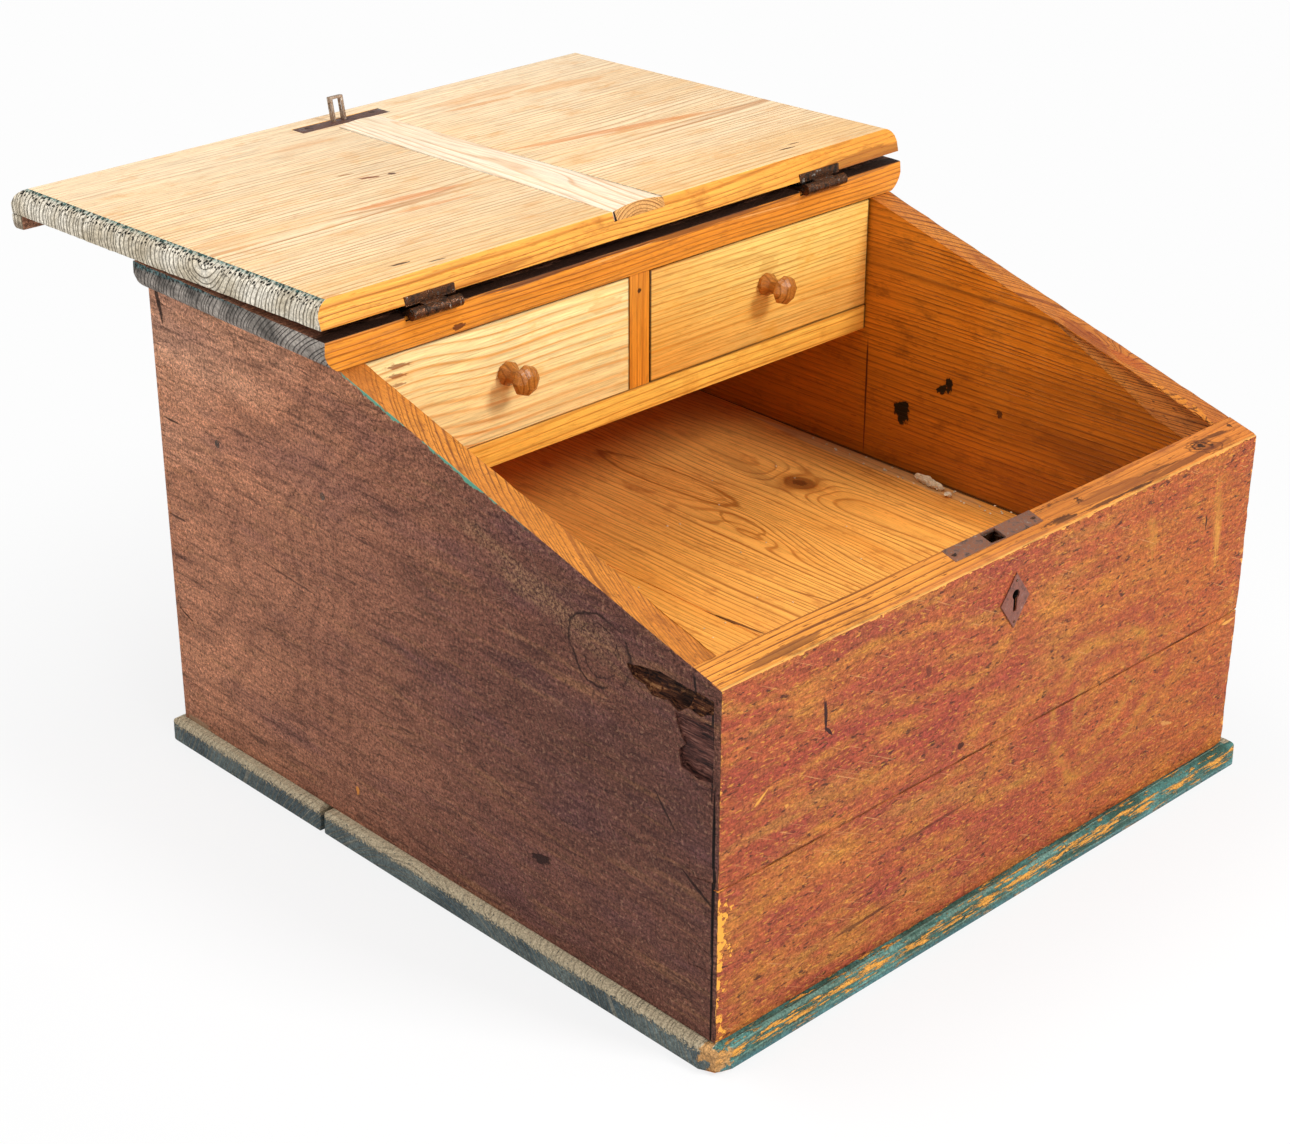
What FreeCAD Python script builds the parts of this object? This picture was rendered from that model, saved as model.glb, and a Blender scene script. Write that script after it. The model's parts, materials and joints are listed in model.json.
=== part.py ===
import FreeCAD, Part
import Sketcher
import math
import os
import re

# Slant-lid writing chest of painted pine, in millimetres.
# The frame: +Z up, the front faces -Y, the origin is the middle of the case's footprint on the ground.
# The lid is drawn folded back on the top board, which is its rest place.

doc = FreeCAD.newDocument("writing_chest")
sheet = doc.addObject("Spreadsheet::Sheet", "Sizes")

SIZES = (
    # case
    ("case_width", 480),
    ("case_depth", 505),
    ("front_height", 240.6),
    ("case_height", 326),
    ("side_thick", 19),
    ("front_thick", 22),
    ("back_thick", 19),
    ("front_joint", 118),
    ("back_joint", 172),
    ("plank_gap", 0.4),
    ("lap_thick", 4),
    ("pin_pitch", 57),
    ("pin_narrow", 10),
    ("pin_wide", 17),
    # bottom and top boards
    ("bottom_thick", 18),
    ("bottom_lip", 6),
    ("bottom_gap", 4),
    ("rear_bottom_depth", 156),
    ("top_depth", 193.5),
    ("top_overhang", 10),
    ("nosing_flat", 6),
    # well floor on its cleats
    ("floor_level", 135),
    ("floor_thick", 17),
    ("floor_joint_shift", -35.5),
    ("floor_gap", 0.6),
    ("cleat_wide", 18),
    ("cleat_high", 22),
    # drawer compartment
    ("shelf_level", 230),
    ("shelf_thick", 18),
    ("shelf_setback", 1.5),
    ("divider_thick", 17),
    ("divider_shift", 1.5),
    # drawers
    ("drawer_side_gap", 0.8),
    ("drawer_top_gap", 1.4),
    ("slide_gap", 0.3),
    ("drawer_back_gap", 7),
    ("drawer_front_thick", 15),
    ("drawer_side_thick", 9),
    ("drawer_back_thick", 9),
    ("drawer_bottom_thick", 7),
    ("rebate_lap", 8),
    ("side_drop", 3),
    # knobs
    ("knob_rise", 2.85),
    ("knob_shift", 2),
    ("knob_foot", 8.2),
    ("knob_neck", 4.4),
    ("knob_head", 8.8),
    ("knob_length", 24),
    ("knob_tenon", 4),
    # lid
    ("lid_thick", 17),
    ("lid_overhang", 9),
    ("lid_side_overhang", 10),
    ("lid_flat", 6),
    ("nose_depth", 12),
    ("seat_gap", 0.2),
    ("rest_gap", 0.3),
    ("hinge_edge_gap", 3.3),
    ("ledge_width", 12),
    ("ledge_height", 9.8),
    ("ledge_round", 5),
    ("batten_front_width", 44),
    ("batten_back_width", 37),
    ("batten_shift", 5),
    ("batten_end_gap", 6.8),
    ("batten_depth", 6),
    ("batten_rise", 2.5),
    # hinges
    ("hinge_shift", 169),
    ("hinge_length", 38),
    ("end_knuckle", 10),
    ("knuckle_gap", 0.3),
    ("barrel_diameter", 7.5),
    ("pin_diameter", 3.6),
    ("pin_play", 0.05),
    ("leaf_thick", 1.2),
    ("leaf_width", 27),
    ("leaf_nail_pitch", 12),
    ("barrel_rise", 1.5),
    ("barrel_front", 2.5),
    ("skin_gap", 0.75),
    ("recess_play", 0.5),
    ("notch_height", 5),
    ("notch_depth", 3),
    # staple
    ("staple_inset", 19),
    ("staple_lean", 10),
    ("staple_height", 17),
    ("staple_width", 4.6),
    ("staple_strap", 1.8),
    ("staple_span", 10.8),
    ("staple_plate_length", 75),
    ("staple_plate_width", 13),
    ("staple_plate_thick", 1.5),
    ("staple_plate_forward", 3.5),
    ("bolt_depth", 9.5),
    # lock
    ("lock_shift", -1.6),
    ("selvedge_length", 79),
    ("selvedge_thick", 2),
    ("selvedge_front", 11),
    ("slot_length", 13),
    ("slot_front", 11.7),
    ("slot_back", 21.5),
    ("lock_plate_height", 56),
    ("lock_plate_thick", 2.5),
    ("lock_plate_hollow", 1),
    ("mortise_left_reach", 30),
    ("mortise_right_reach", 33),
    ("mortise_height", 48),
    ("mortise_front", 11.2),
    ("bolt_thick", 1.6),
    ("bolt_height", 5),
    ("bolt_length", 24),
    ("bolt_throw", 15.5),
    ("bolt_gap", 0.15),
    ("guide_thick", 2.5),
    ("guide_rim", 1.6),
    ("tail_width", 4.4),
    ("talon_height", 5),
    ("talon_drop", 17),
    ("talon_reach", 15),
    ("talon_notch", 2.4),
    ("key_drop", 28),
    ("key_shift", 2.6),
    ("key_pin_diameter", 3),
    ("key_hole_diameter", 6.4),
    ("key_slot_width", 3.2),
    ("key_slot_length", 11),
    ("escutcheon_width", 26),
    ("escutcheon_height", 36),
    ("escutcheon_thick", 1),
    ("tumbler_height", 4),
    ("tumbler_arm", 19),
    ("tumbler_gap", 0.3),
    ("swing_gap", 1.2),
    ("tooth_width", 2.2),
    ("tooth_height", 2.6),
    ("tooth_shift", 10.6),
    ("tumbler_pin_diameter", 2.6),
    ("spring_thick", 0.6),
    ("spring_foot", 4),
    # nails
    ("nail_diameter", 2.4),
    ("nail_head", 5.2),
    ("nail_head_thick", 1),
    ("nail_length", 38),
    ("tack_diameter", 1.6),
    ("tack_head", 4),
    ("tack_length", 11),
    ("nail_setback", 44),
)

# Everything below follows from the sizes above.
DERIVED = (
    ("half_width", "case_width / 2"),
    ("front_y", "-case_depth / 2"),
    ("back_y", "case_depth / 2"),
    ("inner_x", "half_width - side_thick"),
    ("inner_front", "front_y + front_thick"),
    ("inner_back", "back_y - back_thick"),
    ("top_front", "back_y - top_depth"),
    ("slope", "atan((case_height - front_height) / (top_front - front_y)) / 1deg"),
    ("slope_sin", "sin(slope * 1deg)"),
    ("slope_cos", "cos(slope * 1deg)"),
    ("barrel_radius", "barrel_diameter / 2"),
    ("skin", "barrel_radius + skin_gap"),
    ("lid_face", "skin + lid_thick"),
    ("axis_y", "top_front - barrel_front"),
    ("axis_z", "front_height + ((axis_y - front_y) * slope_sin + lid_face + seat_gap) / slope_cos"),
    ("top_level", "axis_z - barrel_rise"),
    ("rest_reach", "back_y - axis_y"),
    ("tilt", "(asin((skin - rest_gap) / sqrt(rest_reach ^ 2 + barrel_rise ^ 2))"
             " + atan(barrel_rise / rest_reach)) / 1deg"),
    ("lid_front", "((axis_y - front_y) + lid_face * slope_sin) / slope_cos"),
    ("lid_nose", "lid_front + lid_overhang"),
    ("lid_half", "half_width + lid_side_overhang"),
    # the lid's hinge edge stands upright when the lid is closed
    ("edge_outer", "(hinge_edge_gap + skin * slope_sin) / slope_cos"),
    ("edge_inner", "(hinge_edge_gap + lid_face * slope_sin) / slope_cos"),
    ("staple_reach", "((axis_y - front_y - staple_inset) + lid_face * slope_sin) / slope_cos"),
    ("staple_plate_far", "staple_reach + staple_plate_forward"),
    ("staple_plate_near", "staple_plate_far - staple_plate_width"),
    ("batten_length", "staple_plate_near - batten_end_gap - edge_inner"),
    ("leg_angle", "(slope - staple_lean) * 1deg"),
    ("bolt_y", "front_y + staple_inset + bolt_depth * sin(leg_angle)"),
    ("bolt_z", "axis_z - staple_reach * slope_sin - lid_face * slope_cos - bolt_depth * cos(leg_angle)"),
    ("shelf_front", "top_front + shelf_setback"),
    ("shelf_top", "shelf_level + shelf_thick"),
    ("divider_left", "divider_shift - divider_thick / 2"),
    ("divider_right", "divider_shift + divider_thick / 2"),
    ("drawer_foot", "shelf_top + slide_gap"),
    ("drawer_head", "case_height - drawer_top_gap"),
    ("lock_top", "front_height + (selvedge_front) * slope_sin / slope_cos"),
    ("lock_right", "lock_shift + mortise_right_reach"),
    ("lock_left", "lock_shift - mortise_left_reach"),
    ("mortise_foot", "lock_top - mortise_height"),
    ("plate_inner", "inner_front + lock_plate_hollow"),
    ("plate_back", "inner_front + lock_plate_thick"),
    ("bolt_tip", "lock_shift + slot_length / 2 + 1"),
    ("bolt_end", "bolt_tip + bolt_length"),
    ("bolt_front", "bolt_y - bolt_thick / 2"),
    ("bolt_back", "bolt_y + bolt_thick / 2"),
    ("bolt_foot", "bolt_z - bolt_height / 2"),
    ("bolt_head", "bolt_z + bolt_height / 2"),
    ("talon_foot", "bolt_foot - talon_drop"),
    ("key_x", "lock_shift + key_shift"),
    ("talon_left", "key_x - talon_reach"),
    ("key_z", "front_height - key_drop"),
    ("tooth_x", "key_x - tooth_shift"),
    ("tumbler_top", "talon_foot - tumbler_gap - tooth_height"),
    ("tumbler_foot", "tumbler_top - tumbler_height"),
    ("pivot_x", "tooth_x - tumbler_arm"),
    ("pivot_z", "tumbler_top - tumbler_height / 2"),
)

NAMES = {name for name, value in SIZES}
DERIVED_NAMES = {name for name, formula in DERIVED}
nodes = []


def sized(text):
    """The formula with each size's name written as its cell or derived value."""
    def full(match):
        word = match.group(0)
        if word in NAMES:
            return "Sizes." + word
        if word in DERIVED_NAMES:
            return "Derived." + word
        return word
    return re.sub(r"[a-z_]+", full, str(text))


def value(text):
    """The formula's present number."""
    return float(sheet.evalExpression(sized(text)))


def bind(thing, **formulas):
    for name, formula in formulas.items():
        thing.setExpression(name, sized(formula))
    return thing


def place(thing, x=0, y=0, z=0, axis="1; 0; 0", angle=0):
    """Binds the whole placement: a turn about an axis, then a move."""
    spot = "create(<<vector>>; %s; %s; %s)" % (x, y, z)
    turn = "create(<<rotation>>; create(<<vector>>; %s); %s)" % (axis, angle)
    return bind(thing, Placement="create(<<placement>>; %s; %s)" % (spot, turn))


def add(kind, name):
    thing = doc.addObject(kind, name)
    thing.Label = name
    return thing


def box(name, x0, x1, y0, y1, z0, z1):
    """A block between two corners."""
    block = add("Part::Box", name)
    bind(block, Length="(%s) - (%s)" % (x1, x0), Width="(%s) - (%s)" % (y1, y0),
         Height="(%s) - (%s)" % (z1, z0))
    return place(block, x0, y0, z0)


TURNS = {"+z": ("1; 0; 0", 0), "-z": ("1; 0; 0", 180), "+x": ("0; 1; 0", 90), "-x": ("0; 1; 0", -90),
         "+y": ("1; 0; 0", -90), "-y": ("1; 0; 0", 90)}


def rod(name, radius, length, x, y, z, towards):
    """A round rod from a point towards a side."""
    cylinder = add("Part::Cylinder", name)
    bind(cylinder, Radius=radius, Height=length)
    axis, angle = TURNS[towards]
    return place(cylinder, x, y, z, axis, angle)


def join(name, pieces):
    union = add("Part::MultiFuse", name)
    union.Shapes = pieces
    return union


def group(name, pieces):
    compound = add("Part::Compound", name)
    compound.Links = pieces
    return compound


def cut(name, base, tools):
    """The base without the tools."""
    tool = tools[0] if len(tools) == 1 else join(name + "_tools", tools)
    difference = add("Part::Cut", name)
    difference.Base = base
    difference.Tool = tool
    return difference


def common(name, pieces):
    shared = add("Part::MultiCommon", name)
    shared.Shapes = pieces
    return shared


def node(name, thing):
    """The finished sub-part under its own name."""
    thing.Label = name
    nodes.append(thing)
    return thing


def prism(name, plane, corners, length, offset):
    """A PartDesign body: an outline on an origin plane, padded along the plane's normal.
    A corner is (across, up) or (across, up, radius): the radius makes the edge to the next
    corner an arc, which bulges to the outline's outside."""
    body = add("PartDesign::Body", name)
    sketch = body.newObject("Sketcher::SketchObject", name + "_outline")
    origin_plane = [item for item in body.Origin.OriginFeatures if item.Role == plane][0]
    sketch.AttachmentSupport = [(origin_plane, "")]
    sketch.MapMode = "FlatFace"
    points = [FreeCAD.Vector(value(corner[0]), value(corner[1]), 0) for corner in corners]
    for index, corner in enumerate(corners):
        start = points[index]
        end = points[(index + 1) % len(points)]
        if len(corner) == 3:
            middle = (start + end) / 2
            half_chord = (end - start).Length / 2
            radius = value(corner[2])
            outward = FreeCAD.Vector(end.y - start.y, start.x - end.x, 0).normalize()
            rise = radius - math.sqrt(max(radius ** 2 - half_chord ** 2, 0))
            sketch.addGeometry(Part.Arc(start, middle + outward * rise, end), False)
        else:
            sketch.addGeometry(Part.LineSegment(start, end), False)
    for index, corner in enumerate(corners):
        is_arc = len(corner) == 3
        starts_at = 1
        if is_arc:
            arc = sketch.Geometry[index]
            starts_at = 1 if arc.StartPoint.distanceToPoint(points[index]) < 0.001 else 2
        for kind, formula in (("DistanceX", corner[0]), ("DistanceY", corner[1])):
            rule = Sketcher.Constraint(kind, -1, 1, index, starts_at, value(formula))
            number = sketch.addConstraint(rule)
            sketch.setExpression("Constraints[%d]" % number, sized(formula))
        ends_at = 3 - starts_at
        following = (index + 1) % len(corners)
        next_start = 1
        if len(corners[following]) == 3:
            next_arc = sketch.Geometry[following]
            near = next_arc.StartPoint.distanceToPoint(points[following]) < 0.001
            next_start = 1 if near else 2
        sketch.addConstraint(Sketcher.Constraint("Coincident", index, ends_at, following, next_start))
        if is_arc:
            number = sketch.addConstraint(Sketcher.Constraint("Radius", index, value(corner[2])))
            sketch.setExpression("Constraints[%d]" % number, sized(corner[2]))
    pad = body.newObject("PartDesign::Pad", name + "_pad")
    pad.Profile = sketch
    bind(pad, Length=length)
    sketch.Visibility = False
    return place(body, *offset)


def write_sizes():
    for row, (name, number) in enumerate(SIZES, start=1):
        sheet.set("A%d" % row, name)
        sheet.set("B%d" % row, str(number))
        sheet.setAlias("B%d" % row, name)
    doc.recompute()
    derived = doc.addObject("App::VarSet", "Derived")
    for name, formula in DERIVED:
        derived.addProperty("App::PropertyFloat", name)
        derived.setExpression(name, sized(formula))
        doc.recompute()


# ---------------------------------------------------------------- nails

def nail(name, x, y, z, towards, length="nail_length", shank="nail_diameter", head="nail_head"):
    """One nail with its head's outer face at the point, driven towards a side."""
    shaft = rod(name + "_shaft", "%s / 2" % shank, length, x, y, z, towards)
    disc = rod(name + "_head", "%s / 2" % head, "nail_head_thick", x, y, z, towards)
    return join(name, [shaft, disc])


def tack(name, x, y, z, towards, length="tack_length"):
    return nail(name, x, y, z, towards, length, "tack_diameter", "tack_head")


# ---------------------------------------------------------------- case

def slope_tool():
    """A block that lies on the slope and takes away what stands above it."""
    block = add("Part::Box", "above_slope")
    bind(block, Length="case_width * 2", Width="case_depth * 2", Height="case_height")
    return place(block, "-case_width", "front_y - case_depth / 2 * slope_cos",
                 "front_height - case_depth / 2 * slope_sin", angle="slope")


def pin_count(top):
    """How many pins fit between a corner's top and a full pin above the bottom boards."""
    room = value("%s - bottom_thick - pin_wide" % top)
    return int(room // value("pin_pitch")) + 1


def pins(name, lap_face, root_face, lap_first, top, count):
    """The wedge-shaped pins of a half-blind dovetailed corner, as bars across the case."""
    bars = []
    for number in range(count):
        bar = add("Part::Wedge", "%s_%d" % (name, number + 1))
        level = "(%s) - %d * pin_pitch" % (top, number)
        narrow = ("%s - pin_narrow / 2" % level, "%s + pin_narrow / 2" % level)
        wide = ("%s - pin_wide / 2" % level, "%s + pin_wide / 2" % level)
        low, high = (narrow, wide) if lap_first else (wide, narrow)
        near, far = (lap_face, root_face) if lap_first else (root_face, lap_face)
        bind(bar, Xmin="-half_width", Xmax="half_width", X2min="-half_width", X2max="half_width",
             Ymin=near, Ymax=far, Zmin=low[0], Zmax=low[1], Z2min=high[0], Z2max=high[1])
        bars.append(bar)
    return join(name, bars)


def end_wall(name, outer, inner, lap_face, pin_bars):
    """A dovetailed wall: its core between the sides, its lap over their ends, and its pins."""
    core_near, core_far = (outer, inner) if name == "front" else (inner, outer)
    lap_near, lap_far = (outer, lap_face) if name == "front" else (lap_face, outer)
    core = box(name + "_core", "-inner_x", "inner_x", core_near, core_far, "bottom_thick", "case_height")
    lap = box(name + "_lap", "-half_width", "half_width", lap_near, lap_far, "bottom_thick", "case_height")
    return join(name + "_wall", [core, lap, pin_bars])


def plank(name, wall, low, high, tools):
    """The stretch of a wall between two levels, less its tools."""
    layer = box(name + "_layer", "-half_width", "half_width", "front_y", "back_y", low, high)
    stretch = common(name + "_stretch", [wall, layer])
    return node(name, cut(name, stretch, tools) if tools else stretch)


def side(name, x0, x1, tools):
    board = box(name + "_board", x0, x1, "front_y + lap_thick", "back_y - lap_thick",
                "bottom_thick", "case_height")
    return node(name, cut(name, board, tools))


def bottom_boards(nails):
    edge = "half_width + bottom_lip"
    joint = "back_y - rear_bottom_depth"
    front = box("bottom_front_blank", "-(%s)" % edge, edge, "front_y - bottom_lip",
                joint + " - bottom_gap", 0, "bottom_thick")
    rear = box("bottom_rear_blank", "-(%s)" % edge, edge, joint, "back_y + bottom_lip", 0, "bottom_thick")
    node("bottom_front_board", cut("bottom_front_board", front, [nails]))
    node("bottom_rear_board", cut("bottom_rear_board", rear, [nails]))


def top_board(nails, hinge_nails, hinge_recesses):
    """The flat top: its ends swell out from the case to a small flat nosing."""
    edge = "half_width + top_overhang"
    nosing = "top_level - nosing_flat"
    radius = "max(top_overhang; top_level - nosing_flat - case_height) * 1.15"
    corners = [("-half_width", "case_height"),
               ("half_width", "case_height", radius),
               (edge, nosing),
               (edge, "top_level"),
               ("-(%s)" % edge, "top_level"),
               ("-(%s)" % edge, nosing, radius)]
    board = prism("top_blank", "XZ_Plane", corners, "top_depth", (0, "back_y", 0))
    node("top_board", cut("top_board", board, [nails, hinge_nails] + hinge_recesses))


def well_floor():
    joint = "floor_joint_shift"
    for name, x0, x1 in (("well_floor_left", "-inner_x", joint + " - floor_gap / 2"),
                         ("well_floor_right", joint + " + floor_gap / 2", "inner_x")):
        node(name, box(name, x0, x1, "inner_front", "inner_back", "floor_level - floor_thick",
                       "floor_level"))
    under = "floor_level - floor_thick"
    for name, x0, x1 in (("floor_cleat_left", "-inner_x", "-inner_x + cleat_wide"),
                         ("floor_cleat_right", "inner_x - cleat_wide", "inner_x")):
        node(name, box(name, x0, x1, "inner_front", "inner_back", under + " - cleat_high", under))


def drawer_compartment(shelf_nails, top_nails):
    shelf = box("shelf_blank", "-inner_x", "inner_x", "shelf_front", "inner_back", "shelf_level",
                "shelf_top")
    node("drawer_shelf", cut("drawer_shelf", shelf, [shelf_nails]))
    divider = box("divider_blank", "divider_left", "divider_right", "shelf_front", "inner_back",
                  "shelf_top", "case_height")
    node("drawer_divider", cut("drawer_divider", divider, [top_nails]))


def bottom_nail_group():
    """Nails up through the bottom into the four walls."""
    made = []
    wall_x = "half_width - side_thick / 2"
    for number, y in enumerate(("front_y + nail_setback", "front_y + case_depth / 2", "back_y - nail_setback")):
        for hand, x in (("left", "-(%s)" % wall_x), ("right", wall_x)):
            made.append(nail("bottom_nail_%s_%d" % (hand, number + 1), x, y, 0, "+z"))
    for wall, y in (("front", "front_y + front_thick / 2"), ("back", "back_y - back_thick / 2")):
        for number, x in enumerate(("-half_width / 2", "0", "half_width / 2")):
            made.append(nail("bottom_nail_%s_%d" % (wall, number + 1), x, y, 0, "+z"))
    return group("bottom_nails", made)


def top_nail_group():
    """Nails down through the top board into the sides, the divider and the back."""
    made = []
    wall_x = "half_width - side_thick / 2"
    rows = ("top_front + top_depth * 0.25", "top_front + top_depth * 0.75")
    for number, y in enumerate(rows):
        for hand, x in (("left", "-(%s)" % wall_x), ("right", wall_x), ("middle", "divider_shift")):
            made.append(nail("top_nail_%s_%d" % (hand, number + 1), x, y, "top_level", "-z"))
    for number, x in enumerate(("-half_width / 2", "half_width / 2")):
        made.append(nail("top_nail_back_%d" % (number + 1), x, "back_y - back_thick / 2", "top_level", "-z"))
    return group("top_nails", made)


def shelf_nail_group():
    """Nails through the sides into the ends of the drawer shelf."""
    made = []
    level = "shelf_level + shelf_thick / 2"
    for number, y in enumerate(("shelf_front + nail_setback / 2", "inner_back - nail_setback")):
        made.append(nail("shelf_nail_left_%d" % (number + 1), "-half_width", y, level, "+x"))
        made.append(nail("shelf_nail_right_%d" % (number + 1), "half_width", y, level, "-x"))
    return group("shelf_nails", made)


# ---------------------------------------------------------------- drawers

def knob(name, x, y, z):
    """A whittled knob: eight flat sides, a foot, a neck and a faceted head, with a round tenon."""
    rings = (("0", "knob_foot * 0.92"), ("knob_length * 0.12", "knob_foot"),
             ("knob_length * 0.34", "knob_neck"), ("knob_length * 0.52", "knob_neck * 1.05"),
             ("knob_length * 0.72", "knob_head"), ("knob_length * 0.86", "knob_head * 0.92"),
             ("knob_length", "knob_head * 0.45"))
    sections = []
    for number, (out, radius) in enumerate(rings):
        ring = add("Part::RegularPolygon", "%s_ring_%d" % (name, number + 1))
        ring.Polygon = 8
        bind(ring, Circumradius=radius)
        sections.append(place(ring, x, "(%s) - (%s)" % (y, out), z, "1; 0; 0", 90))
    turned = add("Part::Loft", name + "_turned")
    turned.Sections = sections
    turned.Solid = True
    turned.Ruled = True
    tenon = rod(name + "_tenon", "knob_tenon", "drawer_front_thick", x, y, z, "+y")
    node(name, join(name, [turned, tenon]))
    return tenon


def drawer(hand, bay_left, bay_right):
    """Rebated front, two sides, a back between them and a bottom nailed up under all three."""
    prefix = hand + "_drawer_"
    x0 = "%s + drawer_side_gap" % bay_left
    x1 = "%s - drawer_side_gap" % bay_right
    front = "shelf_front"
    behind = "shelf_front + drawer_front_thick"
    shoulder = "shelf_front + rebate_lap"
    end = "inner_back - drawer_back_gap"
    foot = "drawer_foot + drawer_bottom_thick"
    left_in = "%s + drawer_side_thick" % x0
    right_in = "%s - drawer_side_thick" % x1
    low_top = "drawer_head - side_drop"

    centre_x = "(%s + %s) / 2 + knob_shift" % (bay_left, bay_right)
    tenon = knob(prefix + "knob", centre_x, front, "(drawer_foot + drawer_head) / 2 + knob_rise")
    made = []
    for number, share in enumerate((0.25, 0.75)):
        level = "%s + (%s - (%s)) * %s" % (foot, low_top, foot, share)
        for side_name, x, towards in (("left", x0, "+x"), ("right", x1, "-x")):
            made.append(tack("%snail_front_%s_%d" % (prefix, side_name, number + 1), x,
                             "%s + (drawer_front_thick - rebate_lap) / 2" % shoulder, level, towards,
                             "tack_length * 2"))
            made.append(tack("%snail_back_%s_%d" % (prefix, side_name, number + 1), x,
                             "%s - drawer_back_thick / 2" % end, level, towards, "tack_length * 2"))
    nails = group(prefix + "nails", made)

    blank = box(prefix + "front_blank", x0, x1, front, behind, "drawer_foot", "drawer_head")
    rebates = [box(prefix + "rebate_left", x0 + " - 1", left_in, shoulder, behind + " + 1",
                   "drawer_foot - 1", "drawer_head + 1"),
               box(prefix + "rebate_right", right_in, x1 + " + 1", shoulder, behind + " + 1",
                   "drawer_foot - 1", "drawer_head + 1"),
               box(prefix + "rebate_foot", x0 + " - 1", x1 + " + 1", shoulder, behind + " + 1",
                   "drawer_foot - 1", foot)]
    node(prefix + "front", cut(prefix + "front", blank, rebates + [tenon, nails]))
    for side_name, near, far in (("left_side", x0, left_in), ("right_side", right_in, x1)):
        board = box(prefix + side_name + "_blank", near, far, shoulder, end, foot, low_top)
        node(prefix + side_name, cut(prefix + side_name, board, [nails]))
    back = box(prefix + "back_blank", left_in, right_in, "%s - drawer_back_thick" % end, end, foot, low_top)
    node(prefix + "back", cut(prefix + "back", back, [nails]))
    node(prefix + "bottom", box(prefix + "bottom", x0, x1, shoulder, end, "drawer_foot", foot))
    node(prefix + "nails", nails)


# ---------------------------------------------------------------- hinges

def on_lid(name, thing):
    """Turns a piece drawn in the lid's own frame into its rest place. In that frame the origin is
    on the hinge axis, +Y runs to the lid's free edge and +Z to its inner face."""
    resting = group(name, [thing])
    place(resting, 0, "axis_y", "axis_z", angle="-tilt")
    return node(name, resting)


def hinge(hand, centre):
    """A three-knuckle strap hinge: the outer knuckles on the top board, the middle one on the lid."""
    left = "%s - hinge_length / 2" % centre
    right = "%s + hinge_length / 2" % centre
    inner_left = "%s + end_knuckle" % left
    inner_right = "%s - end_knuckle" % right
    hole = rod(hand + "_pin_hole", "pin_diameter / 2 + pin_play", "hinge_length", left, 0, 0, "+x")

    # fixed leaf, drawn about the axis and then moved to it
    leaf = box(hand + "_fixed_strap", left, right, 0, "leaf_width", "-barrel_rise", "leaf_thick - barrel_rise")
    ends = [rod(hand + "_end_knuckle_1", "barrel_radius", "end_knuckle", left, 0, 0, "+x"),
            rod(hand + "_end_knuckle_2", "barrel_radius", "end_knuckle", inner_right, 0, 0, "+x")]
    gap = box(hand + "_knuckle_gap", inner_left, inner_right, "-barrel_diameter",
              "barrel_radius + recess_play", "-barrel_diameter", "barrel_diameter")
    fixed_nails = []
    lid_nails = []
    for number in range(3):
        x = "%s + %d * leaf_nail_pitch" % (centre, number - 1)
        row = "leaf_width * 0.72" if number != 1 else "leaf_width * 0.45"
        fixed_nails.append(tack("%s_fixed_nail_%d" % (hand, number + 1), x, row,
                                "leaf_thick - barrel_rise", "-z"))
        lid_nails.append(tack("%s_lid_nail_%d" % (hand, number + 1), x, row,
                              "skin - leaf_thick", "+z"))
    tools = group(hand + "_fixed_nail_holes", fixed_nails)
    body = cut(hand + "_fixed_body", join(hand + "_fixed_blank", [leaf] + ends), [gap, hole, tools])
    fixed = group(hand + "_hinge_fixed_leaf", [body])
    place(fixed, 0, "axis_y", "axis_z")
    node(hand + "_hinge_fixed_leaf", fixed)

    # moving leaf, in the lid's frame
    near = "%s + knuckle_gap" % inner_left
    far = "%s - knuckle_gap" % inner_right
    strap = box(hand + "_lid_strap", left, right, "barrel_radius + recess_play", "leaf_width",
                "skin - leaf_thick", "skin")
    tongue = box(hand + "_lid_tongue", near, far, 0, "barrel_diameter", "skin - leaf_thick", "skin")
    neck = box(hand + "_lid_neck", near, far, 0, "leaf_thick", "pin_diameter / 2", "skin")
    knuckle = rod(hand + "_lid_knuckle", "barrel_radius", "%s - (%s)" % (far, near), near, 0, 0, "+x")
    web = box(hand + "_lid_web", left, right, "edge_outer", "edge_outer + notch_depth",
              "skin - leaf_thick", "skin + notch_height")
    holes = group(hand + "_lid_nail_holes", lid_nails)
    blank = join(hand + "_moving_blank", [strap, tongue, neck, knuckle, web])
    on_lid(hand + "_hinge_moving_leaf", cut(hand + "_moving_body", blank, [hole, holes]))

    pin = rod(hand + "_hinge_pin", "pin_diameter / 2", "hinge_length", left, "axis_y", "axis_z", "+x")
    node(hand + "_hinge_pin", pin)

    recess = box(hand + "_barrel_recess", "%s - 4 * recess_play" % left, "%s + recess_play" % right,
                 "top_front - 1", "axis_y + barrel_radius + recess_play",
                 "axis_z - barrel_radius - recess_play", "top_level + 1")
    notch = box(hand + "_lid_notch", left, right, 0, "edge_outer + notch_depth",
                "skin - 1", "skin + notch_height")
    return recess, notch, tools, holes


# ---------------------------------------------------------------- lid

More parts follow.
